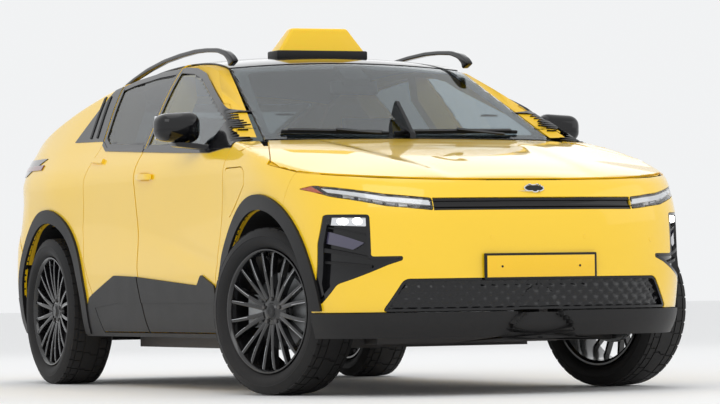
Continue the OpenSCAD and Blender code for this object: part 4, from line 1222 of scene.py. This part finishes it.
def make_rim():
    """Barrel, lip, hub and ten pairs of spokes."""
    rim_r = 0.266
    bm = spun([(0.100, rim_r), (0.1005, rim_r - 0.006), (0.093, rim_r - 0.013),
               (0.080, rim_r - 0.017), (0.02, rim_r - 0.022), (-0.09, rim_r - 0.02),
               (-0.100, rim_r - 0.008), (-0.100, rim_r)], 96)
    pairs = 10
    for i in range(pairs):
        middle = 2 * math.pi * i / pairs
        for s in (-1, 1):
            add_blade(bm, middle + s * 0.10, (0.058, 0.070), (0.252, 0.090),
                      (0.020, 0.013), 0.036, s * 0.045)
    hub = spun([(0.076, 0.0), (0.076, 0.030), (0.070, 0.036), (0.064, 0.070), (0.056, 0.078),
                (0.02, 0.080), (0.02, 0.0)], 60, closed=False)
    temp = bpy.data.meshes.new("hub")
    hub.to_mesh(temp)
    hub.free()
    bm.from_mesh(temp)
    bpy.data.meshes.remove(temp)
    bmesh.ops.recalc_face_normals(bm, faces=bm.faces)
    return bm


def make_rim_facets():
    """Bright machined edges on the outer flank of every second spoke."""
    bm = bmesh.new()
    for i in range(10):
        middle = 2 * math.pi * i / 10
        add_blade(bm, middle + 0.128, (0.085, 0.0725), (0.250, 0.0912), (0.0028, 0.0022),
                  0.004, 0.040)
        add_blade(bm, middle - 0.072, (0.120, 0.0745), (0.245, 0.0908), (0.0016, 0.0016),
                  0.004, -0.050)
    bmesh.ops.recalc_face_normals(bm, faces=bm.faces)
    return bm


def make_wheel_parts():
    nuts = bmesh.new()
    for i in range(5):
        a = 2 * math.pi * i / 5
        made = bmesh.ops.create_cone(nuts, cap_ends=True, segments=6, radius1=0.0105,
                                     radius2=0.009, depth=0.014)["verts"]
        bmesh.ops.transform(nuts, verts=made, matrix=Matrix.Translation(
            (0.069, 0.052 * math.sin(a), 0.052 * math.cos(a))) @ Matrix.Rotation(
                math.pi / 2, 4, "Y"))
    cap = spun([(0.0765, 0.0), (0.080, 0.012), (0.0795, 0.024), (0.077, 0.0285), (0.074, 0.029)],
               48, closed=False)
    disc = spun([(0.012, 0.070), (0.012, 0.163), (0.010, 0.165), (0.004, 0.165), (0.003, 0.150),
                 (-0.003, 0.150), (-0.004, 0.165), (-0.010, 0.165), (-0.012, 0.163),
                 (-0.012, 0.070)], 72)
    bell = spun([(0.012, 0.076), (0.036, 0.080), (0.040, 0.074), (0.040, 0.03), (0.012, 0.03)],
                60)
    valve = bmesh.new()
    bmesh.ops.create_cone(valve, cap_ends=True, segments=10, radius1=0.0045, radius2=0.0035,
                          depth=0.022)
    bmesh.ops.transform(valve, verts=valve.verts, matrix=Matrix.Translation((0.085, 0.0, 0.226))
                        @ Matrix.Rotation(math.radians(60), 4, "Y"))
    parts = (("tyre_tread", make_tyre(), tyre_rubber, ("tyre_",), 30),
             ("rim_spokes", make_rim(), wheel_gloss, ("rim_",), 35),
             ("rim_facets", make_rim_facets(), machined, (), 35),
             ("wheel_nuts", nuts, steel, (), 30), ("wheel_cap", cap, black_gloss, (), 30),
             ("brake_disc", disc, alloy, (), 30), ("disc_bell", bell, steel, (), 30),
             ("tyre_valve", valve, black_satin, (), 30))
    for end, body, place in wheel_places():
        for name, bm, material, nodes, smooth in parts:
            copy = bm.copy()
            bmesh.ops.transform(copy, matrix=place, verts=copy.verts)
            finish_piece("%s_%s" % (name, end), copy, body, material, smooth=smooth,
                         replaces=[n + end for n in nodes])
    for _, bm, _, _, _ in parts:
        bm.free()


make_wheel_parts()


# ---------------------------------------------------------------- mirrors, rails, sign, plates
def rounded_box(size, radius, segments=4):
    bm = bmesh.new()
    bmesh.ops.create_cube(bm, size=1)
    bmesh.ops.scale(bm, vec=size, verts=bm.verts)
    bmesh.ops.bevel(bm, geom=bm.edges[:], offset=radius, segments=segments, profile=0.5,
                    affect="EDGES", material=-1)
    return bm


def place_at(bm, where, turn=(0, 0, 0)):
    matrix = Matrix.Translation(where)
    for axis, angle in zip("XYZ", turn):
        if angle:
            matrix = matrix @ Matrix.Rotation(math.radians(angle), 4, axis)
    bmesh.ops.transform(bm, matrix=matrix, verts=bm.verts)
    return bm


def make_mirrors():
    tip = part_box("mirror_left")[1].x
    middle = Vector((tip - 0.108, -0.545, 1.183))
    size = Vector((0.205, 0.125, 0.142))
    housing = rounded_box(size, 0.052, 6)
    for v in housing.verts:
        u = v.co.x / size.x + 0.5
        v.co.y *= 0.92 + 0.12 * u
        v.co.z *= 1.02 - 0.16 * u
        v.co.y += 0.014 * u
        if v.co.y > 0.048:
            v.co.y = 0.048 + (v.co.y - 0.048) * 0.2
    place_at(housing, middle, (0, 0, -6))
    line = rounded_box((size.x * 0.98, size.y * 0.9, 0.004), 0.0018, 2)
    for v in line.verts:
        u = v.co.x / size.x + 0.5
        v.co.y = v.co.y * math.sqrt(max(0.05, 1 - (2 * abs(u - 0.5)) ** 4)) * 1.06 + 0.014 * u
    place_at(line, middle + Vector((0, -0.002, -0.022)), (0, 0, -6))
    pane = rounded_box((size.x * 0.84, 0.006, size.z * 0.74), 0.0028, 2)
    place_at(pane, middle + Vector((0.002, 0.064, 0.0)), (0, 0, -6))
    arm = rounded_box((0.15, 0.085, 0.024), 0.011, 4)
    for v in arm.verts:
        u = min(max(0.5 - v.co.x / 0.15, 0), 1)
        v.co.y -= 0.17 * u ** 1.3
        v.co.z -= 0.030 * u
    root = middle + Vector((-0.055, 0.01, -0.072))
    place_at(arm, root)
    foot = body_sheet(side_rays, (-1.0, -0.68), (1.0, 1.4), 0.01,
                      [("x", grown(rounded(front_door_line, 8), -shut - 0.0005), True),
                       ("x", rounded([[-1010, 1074], [-690, 1078], [-722, 1150], [-818, 1290],
                                      [-1010, 1290]], 12), True)], lift=0.004)
    for end, flip in (("_left", False), ("_right", True)):
        body = "front_door" + end
        for name, bm, material in (("mirror_housing", housing, black_gloss),
                                   ("mirror_line", line, chrome),
                                   ("mirror_pane", pane, chrome),
                                   ("mirror_arm", arm, black_gloss)):
            shape = flipped(bm) if flip else bm.copy()
            nodes = ("mirror" + end,) if name == "mirror_housing" else ()
            finish_piece(name + end, shape, body, material, smooth=50, replaces=nodes)
        shape = flipped(foot) if flip else foot.copy()
        wall(finish_piece("mirror_foot" + end, shape, body, black_gloss), 0.008, 0.002)
    for bm in (housing, line, pane, arm, foot):
        bm.free()


make_mirrors()


def make_handles():
    grip = body_sheet(side_rays, (-0.12, 0.14), (0.94, 1.01), 0.006,
                      [("x", rounded([[-92, 966], [106, 970], [106, 991], [-92, 989]], 10), True)],
                      lift=0.024)
    for v in grip.verts:
        t = (v.co.y + 0.092) / 0.198
        v.co.x -= 0.016 * (abs(2 * t - 1) ** 4)
    cup = body_sheet(side_rays, (-0.12, 0.14), (0.93, 1.02), 0.006,
                     [("x", rounded([[-50, 958], [70, 962], [78, 1002], [-44, 998]], 18), True)],
                     lift=0.0009)
    sides("door_handle", grip, "front_door", yellow_paint, 0.012, 0.004, True, 3)
    # The cup is a flat sheet just over the door skin in the darker yellow: painted shade where the
    # handle's recess would be.
    sides("door_handle_cup", cup, "front_door", inner_paint_with_painted_shade, 0.004, 0.0006, True)
    keeper = body_sheet(side_rays, (0.6, 0.9), (1.03, 1.1), 0.006,
                        [("x", rounded([[640, 1062], [800, 1070], [800, 1092], [640, 1084]], 9),
                          True)], lift=0.012)
    sides("rear_door_handle", keeper, "rear_door", yellow_paint, 0.012, 0.004, True, 3)


make_handles()


def make_rails():
    top = [[-366, 1496], [-330, 1524], [-270, 1549], [-167, 1569], [-20, 1578], [126, 1581],
           [320, 1574], [530, 1559], [760, 1530], [960, 1492], [1100, 1458], [1180, 1430]]
    low = [[1080, 1428], [1040, 1450], [930, 1481], [740, 1512], [530, 1539], [320, 1553],
           [126, 1560], [-20, 1557], [-160, 1547], [-245, 1527], [-290, 1500], [-300, 1474]]
    outline = rounded(top + low, 26)
    bm = bmesh.new()
    ring = [bm.verts.new((0.576, p[0], p[1])) for p in outline]
    face = bm.faces.new(ring)
    pushed = bmesh.ops.extrude_face_region(bm, geom=[face])["geom"]
    bmesh.ops.translate(bm, vec=(0.032, 0, 0),
                        verts=[g for g in pushed if isinstance(g, bmesh.types.BMVert)])
    bmesh.ops.recalc_face_normals(bm, faces=bm.faces)
    long_edges = [e for e in bm.edges if e.calc_face_angle(0) > 0.9]
    bmesh.ops.bevel(bm, geom=long_edges, offset=0.007, segments=3, profile=0.5, affect="EDGES",
                    material=-1)
    for end, shape in (("_right", flipped(bm)), ("_left", bm)):
        finish_piece("roof_rail" + end, shape, "body", black_gloss, smooth=35,
                     replaces=("roof_rails",))


make_rails()


def make_sign():
    low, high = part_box("taxi_sign")
    foot = low.z + 0.022
    width, depth, height = (high.x - low.x) - 0.012, 0.12, high.z - foot
    bm = bmesh.new()
    bmesh.ops.create_cube(bm, size=1)
    for v in bm.verts:
        up = v.co.z > 0
        v.co.x *= width * (0.62 if up else 1.0)
        v.co.y *= depth * (0.52 if up else 1.0)
        v.co.z = height if up else 0
    bmesh.ops.bevel(bm, geom=bm.edges[:], offset=0.016, segments=5, profile=0.6,
                    affect="EDGES", material=-1)
    y = (low.y + high.y) / 2
    place_at(bm, (0, y, foot))
    finish_piece("roof_sign", bm, "body", sign_plastic, smooth=50, replaces=("taxi_sign",))
    base = rounded_box((width + 0.008, depth + 0.01, 0.03), 0.008, 3)
    for v in base.verts:
        v.co.z -= 0.0 if v.co.z > 0 else 0.012 * (abs(v.co.x) / (width / 2)) ** 2
    place_at(base, (0, y, foot - 0.002))
    finish_piece("roof_sign_base", base, "body", black_satin)


make_sign()


def make_plates():
    for name, side, z in (("front", -1, 0.534), ("rear", 1, 0.555)):
        y = side * (half_len - 0.006)
        holder = rounded_box((0.52, 0.0115, 0.11), 0.004, 2)
        place_at(holder, (0, y, z))
        finish_piece("%s_plate_holder" % name, holder, "body", black_satin,
                     replaces=("number_plates",))
        film = rounded_box((0.498, 0.003, 0.09), 0.0012, 2)
        place_at(film, (0, side * (half_len - 0.0006), z))
        finish_piece("%s_plate" % name, film, "body", plate_film)
        for x in (-0.18, 0.18):
            bolt = bmesh.new()
            bmesh.ops.create_cone(bolt, cap_ends=True, segments=20, radius1=0.006,
                                  radius2=0.0045, depth=0.002)
            place_at(bolt, (x, side * (half_len + 0.0008), z), (side * -90, 0, 0))
            finish_piece("%s_plate_bolt_%s" % (name, "left" if x > 0 else "right"), bolt,
                         "body", black_gloss)


make_plates()


def make_wipers():
    for name, start, end, pivot in (("driver", (-60, -925), (560, -905), (470, -958)),
                                    ("passenger", (-600, -905), (-90, -930), (-140, -958))):
        def bar(part, a, b, half, lift, thick, material):
            a, b = Vector(a), Vector(b)
            n = Vector((-(b - a).y, (b - a).x)).normalized() * half
            outline = rounded([a + n, a - n, b - n, b + n], half * 0.9)
            bm = body_sheet(top_rays, (-0.7, 0.7), (-0.99, -0.6), 0.01, [("z", outline, True)],
                            lift=lift)
            wall(finish_piece("wiper_%s_%s" % (part, name), bm, "body", material), thick,
                 0.0012)
        middle = ((start[0] + end[0]) / 2, (start[1] + end[1]) / 2)
        bar("blade", start, end, 5, 0.013, 0.012, black_matt)
        bar("spine", (start[0] + 30, start[1]), (end[0] - 30, end[1]), 8, 0.019, 0.005,
            black_satin)
        bar("arm", pivot, middle, 9, 0.026, 0.007, black_satin)


make_wipers()


# ---------------------------------------------------------------- cabin
def cushion(name, size, where, turn=(0, 0, 0), crown=0.02, pull=0.02, seams=(), body="body",
            material=None):
    """A stuffed pad: crowned faces, pulled-in sides and sewn channels across it."""
    bm = bmesh.new()
    bmesh.ops.create_cube(bm, size=2)
    bmesh.ops.subdivide_edges(bm, edges=bm.edges[:], cuts=22, use_grid_fill=True)
    for v in bm.verts:
        u, w, t = v.co
        edge = max(abs(u), abs(w))
        soft = (1 - 0.5 * abs(t) ** 4 * edge ** 10 * 0.16)
        dome = (1 - u * u) * (1 - w * w)
        x = u * (size[0] / 2) * soft - u * pull * (1 - w * w) * 0.5 * (1 - abs(t) ** 2)
        y = w * (size[1] / 2) * soft - w * pull * (1 - u * u) * 0.5 * (1 - abs(t) ** 2)
        z = t * (size[2] / 2 * (1 - 0.35 * edge ** 6) + crown * dome)
        for across, place in seams:
            along = u if across == "x" else w
            z -= math.copysign(0.011, t) * math.exp(-((along - place) / 0.035) ** 2) * abs(t)
        v.co = (x, y, z)
    bmesh.ops.smooth_vert(bm, verts=bm.verts, factor=0.5, use_axis_x=True, use_axis_y=True,
                          use_axis_z=True)
    place_at(bm, where, turn)
    piece = finish_piece(name, bm, body, material or seat_cloth, smooth=180)
    return piece


def make_seats():
    low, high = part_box("front_seats")
    seat_y, floor = low.y + 0.03, low.z
    wide = 0.5
    for end, side in (("_left", 1), ("_right", -1)):
        x = side * (high.x - wide / 2)
        cushion("front_seat_base" + end, (wide - 0.02, 0.52, 0.15), (x, seat_y + 0.245,
                                                                     floor + 0.235),
                (4, 0, 0), 0.016, 0.02, (("x", -0.62), ("x", 0.62), ("y", 0.2)))
        cushion("front_seat_back" + end, (wide - 0.03, 0.60, 0.13),
                (x, seat_y + 0.60, floor + 0.53), (73, 0, 0), 0.02, 0.03,
                (("x", -0.6), ("x", 0.6), ("y", 0.1), ("y", -0.4)))
        cushion("front_headrest" + end, (0.255, 0.16, 0.085), (x, seat_y + 0.665, floor + 0.87),
                (82, 0, 0), 0.01, 0.012, ())
        rails = bmesh.new()
        for offset in (-0.055, 0.055):
            made = bmesh.ops.create_cone(rails, cap_ends=True, segments=16, radius1=0.0065,
                                         radius2=0.0065, depth=0.14)["verts"]
            bmesh.ops.translate(rails, vec=(x + offset, seat_y + 0.668, floor + 0.80),
                                verts=made)
        finish_piece("headrest_posts" + end, rails, "body", chrome)
        plinth = rounded_box((wide - 0.09, 0.44, 0.16), 0.02, 3)
        place_at(plinth, (x, seat_y + 0.25, floor + 0.082))
        finish_piece("front_seat_plinth" + end, plinth, "body", cabin_plastic)
    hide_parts("front_seats")
    low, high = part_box("rear_seat")
    for number, x in enumerate((-0.4, 0.0, 0.4)):
        cushion("rear_seat_base_%d" % number, (0.385, 0.44, 0.13), (x, 0.70, 0.56), (3, 0, 0),
                0.012, 0.014, (("y", 0.25),))
        cushion("rear_seat_back_%d" % number, (0.385, 0.56, 0.1), (x, 1.035, 0.855), (72, 0, 0),
                0.014, 0.014, (("y", 0.3), ("y", -0.35)))
    plinth = rounded_box((high.x - low.x - 0.02, 0.40, 0.17), 0.02, 3)
    place_at(plinth, (0, 0.69, 0.41))
    finish_piece("rear_seat_plinth", plinth, "body", cabin_grey, replaces=("rear_seat",))


make_seats()


def make_cabin():
    top = bmesh.new()
    outline = [(-0.905, 0.80), (-0.905, 1.035), (-0.86, 1.052), (-0.76, 1.046), (-0.67, 1.012),
               (-0.636, 0.965), (-0.645, 0.93), (-0.70, 0.90), (-0.72, 0.80)]
    face = top.faces.new([top.verts.new((-0.688, y, z)) for y, z in outline])
    pushed = bmesh.ops.extrude_face_region(top, geom=[face])["geom"]
    bmesh.ops.translate(top, vec=(1.376, 0, 0),
                        verts=[g for g in pushed if isinstance(g, bmesh.types.BMVert)])
    bmesh.ops.recalc_face_normals(top, faces=top.faces)
    bmesh.ops.bevel(top, geom=[e for e in top.edges if e.calc_face_angle(0) > 0.2],
                    offset=0.012, segments=3, profile=0.5, affect="EDGES", material=-1)
    finish_piece("dashboard_top", top, "body", cabin_plastic, smooth=35)
    screen = rounded_box((0.29, 0.014, 0.17), 0.006, 3)
    place_at(screen, (0, -0.655, 1.03), (-14, 0, 0))
    finish_piece("centre_screen", screen, "body", black_gloss)
    hood = rounded_box((0.26, 0.12, 0.05), 0.02, 4)
    place_at(hood, (0.37, -0.70, 1.045), (4, 0, 0))
    finish_piece("instrument_hood", hood, "body", cabin_plastic)
    for number, x in enumerate((-0.62, -0.2, 0.2, 0.62)):
        vent = bmesh.new()
        for k in range(4):
            slat = bmesh.ops.create_cube(vent, size=1)["verts"]
            bmesh.ops.scale(vent, vec=(0.11, 0.02, 0.004), verts=slat)
            bmesh.ops.translate(vent, vec=(x, -0.648, 0.955 + k * 0.012), verts=slat)
        finish_piece("air_vent_%d" % number, vent, "body", black_satin)
    console = rounded_box((0.22, 0.46, 0.29), 0.03, 4)
    place_at(console, (0, -0.475, 0.465))
    finish_piece("centre_console", console, "body", cabin_plastic, replaces=("dashboard",))
    stack = rounded_box((0.21, 0.09, 0.5), 0.02, 3)
    place_at(stack, (0, -0.68, 0.57))
    finish_piece("centre_stack", stack, "body", cabin_plastic)
    column = spun([(-0.10, 0.0), (-0.10, 0.034), (0.0, 0.038), (0.068, 0.034), (0.068, 0.0)], 36,
                  closed=False)
    turn = Matrix.Translation((0.37, -0.64, 0.89)) @ Matrix.Rotation(math.radians(-68), 4, "X") \
        @ Matrix.Rotation(math.radians(-90), 4, "Y")
    bmesh.ops.transform(column, matrix=turn, verts=column.verts)
    finish_piece("steering_column", column, "body", cabin_plastic)

    wheel = bmesh.new()
    for k in range(20):
        a = 2 * math.pi * k / 20
        wheel.verts.new((0.170 + 0.0145 * math.cos(a), 0, 0.094 + 0.0145 * math.sin(a)))
    wheel.verts.ensure_lookup_table()
    for k in range(20):
        wheel.edges.new((wheel.verts[k], wheel.verts[(k + 1) % 20]))
    bmesh.ops.spin(wheel, geom=wheel.verts[:] + wheel.edges[:], cent=(0, 0, 0), axis=(0, 0, 1),
                   angle=2 * math.pi, steps=72, use_merge=True)
    bmesh.ops.remove_doubles(wheel, verts=wheel.verts, dist=1e-6)
    for angle in (0, 180, 270):
        made = bmesh.ops.create_cube(wheel, size=1)["verts"]
        bmesh.ops.transform(wheel, verts=made, matrix=Matrix.Rotation(math.radians(angle), 4, "Z")
                            @ Matrix.Translation((0.107, 0, 0.088))
                            @ Matrix.Diagonal((0.125, 0.030, 0.013, 1)))
    pad = bmesh.ops.create_cone(wheel, cap_ends=True, segments=40, radius1=0.056, radius2=0.044,
                                depth=0.036)["verts"]
    bmesh.ops.translate(wheel, vec=(0, 0, 0.094), verts=pad)
    bmesh.ops.recalc_face_normals(wheel, faces=wheel.faces)
    place_at(wheel, (0.37, -0.64, 0.89), (-68, 0, 0))
    finish_piece("steering_wheel_rim", wheel, "steering_wheel", rim_leather, smooth=40,
                 replaces=("steering_wheel",))
    eye = body_sheet(top_rays, (-0.12, 0.12), (-0.45, -0.25), 0.008,
                     [("z", rounded([[-66, -400], [66, -400], [52, -262], [-52, -262]], 14),
                       True)], lift=-0.014)
    wall(finish_piece("camera_housing", eye, "body", black_satin), 0.035, 0.004)
    mirror = rounded_box((0.235, 0.03, 0.066), 0.012, 4)
    place_at(mirror, (0, -0.345, 1.375), (-12, 0, 0))
    finish_piece("cabin_mirror", mirror, "body", black_satin)
    for end, side in (("_left", 1), ("_right", -1)):
        card = body_sheet(side_rays, (-0.86, 0.08), (0.38, 1.03), 0.04,
                          [("x", grown(rounded(front_door_line, 8), -0.07), True),
                           ("x", grown(below_belt, 0.0), True)], lift=-0.112)
        shape = card if side > 0 else flipped(card)
        finish_piece("front_door_card" + end, shape, "front_door" + end, cabin_grey)


make_cabin()

for node, material in (("floor_pan", black_matt), ("battery_pack", steel),
                       ("bulkhead", black_matt),
                       ("headlamps", black_matt), ("corner_lamps", black_matt),
                       ("wheel_liners", black_matt), ("front_suspension", steel),
                       ("rear_suspension", steel), ("drive_motor", alloy),
                       ("knuckle_left", alloy), ("knuckle_right", alloy)):
    mesh = frame["nodes"][node].data
    mesh.materials.clear()
    mesh.materials.append(material)
for node, depth in (("headlamps", 0.040), ("corner_lamps", 0.040)):
    core(node, black_matt, depth)




# ---------------------------------------------------------------- floor and light
def make_stage():
    bm = bmesh.new()
    bmesh.ops.create_grid(bm, x_segments=2, y_segments=2, size=60)
    mesh = bpy.data.meshes.new("floor")
    bm.to_mesh(mesh)
    bm.free()
    floor = bpy.data.objects.new("floor", mesh)
    bpy.context.scene.collection.objects.link(floor)
    pale = bpy.data.materials.new("pale_floor")
    pale.use_nodes = True
    pale.node_tree.nodes["Principled BSDF"].inputs["Base Color"].default_value = \
        (0.86, 0.86, 0.86, 1)
    pale.node_tree.nodes["Principled BSDF"].inputs["Roughness"].default_value = 0.7
    mesh.materials.append(pale)
    world = bpy.data.worlds.new("studio")
    world.use_nodes = True
    world.node_tree.nodes["Background"].inputs["Color"].default_value = (0.98, 0.99, 1.0, 1)
    world.node_tree.nodes["Background"].inputs["Strength"].default_value = 0.9
    bpy.context.scene.world = world
    for name, place, target, size, power in (
            ("key_light", (-4.5, -7.0, 7.5), (0, -0.8, 0.6), (7.0, 5.0), 170),
            ("fill_light", (6.5, -5.0, 4.0), (0, -0.5, 0.7), (6.0, 5.0), 45),
            ("top_light", (0, 0.5, 7.0), (0, 0, 0.8), (3.0, 8.0), 45),
            ("back_light", (3.0, 7.5, 5.0), (0, 1.0, 0.8), (6.0, 4.0), 50)):
        data = bpy.data.lights.new(name, "AREA")
        data.shape, data.energy = "RECTANGLE", power
        data.size, data.size_y = size
        lamp = bpy.data.objects.new(name, data)
        lamp.location = place
        lamp.rotation_mode = "QUATERNION"
        lamp.rotation_quaternion = (Vector(target) - Vector(place)).to_track_quat("-Z", "Y")
        bpy.context.scene.collection.objects.link(lamp)
    bpy.context.scene.view_settings.view_transform = "Standard"


make_stage()
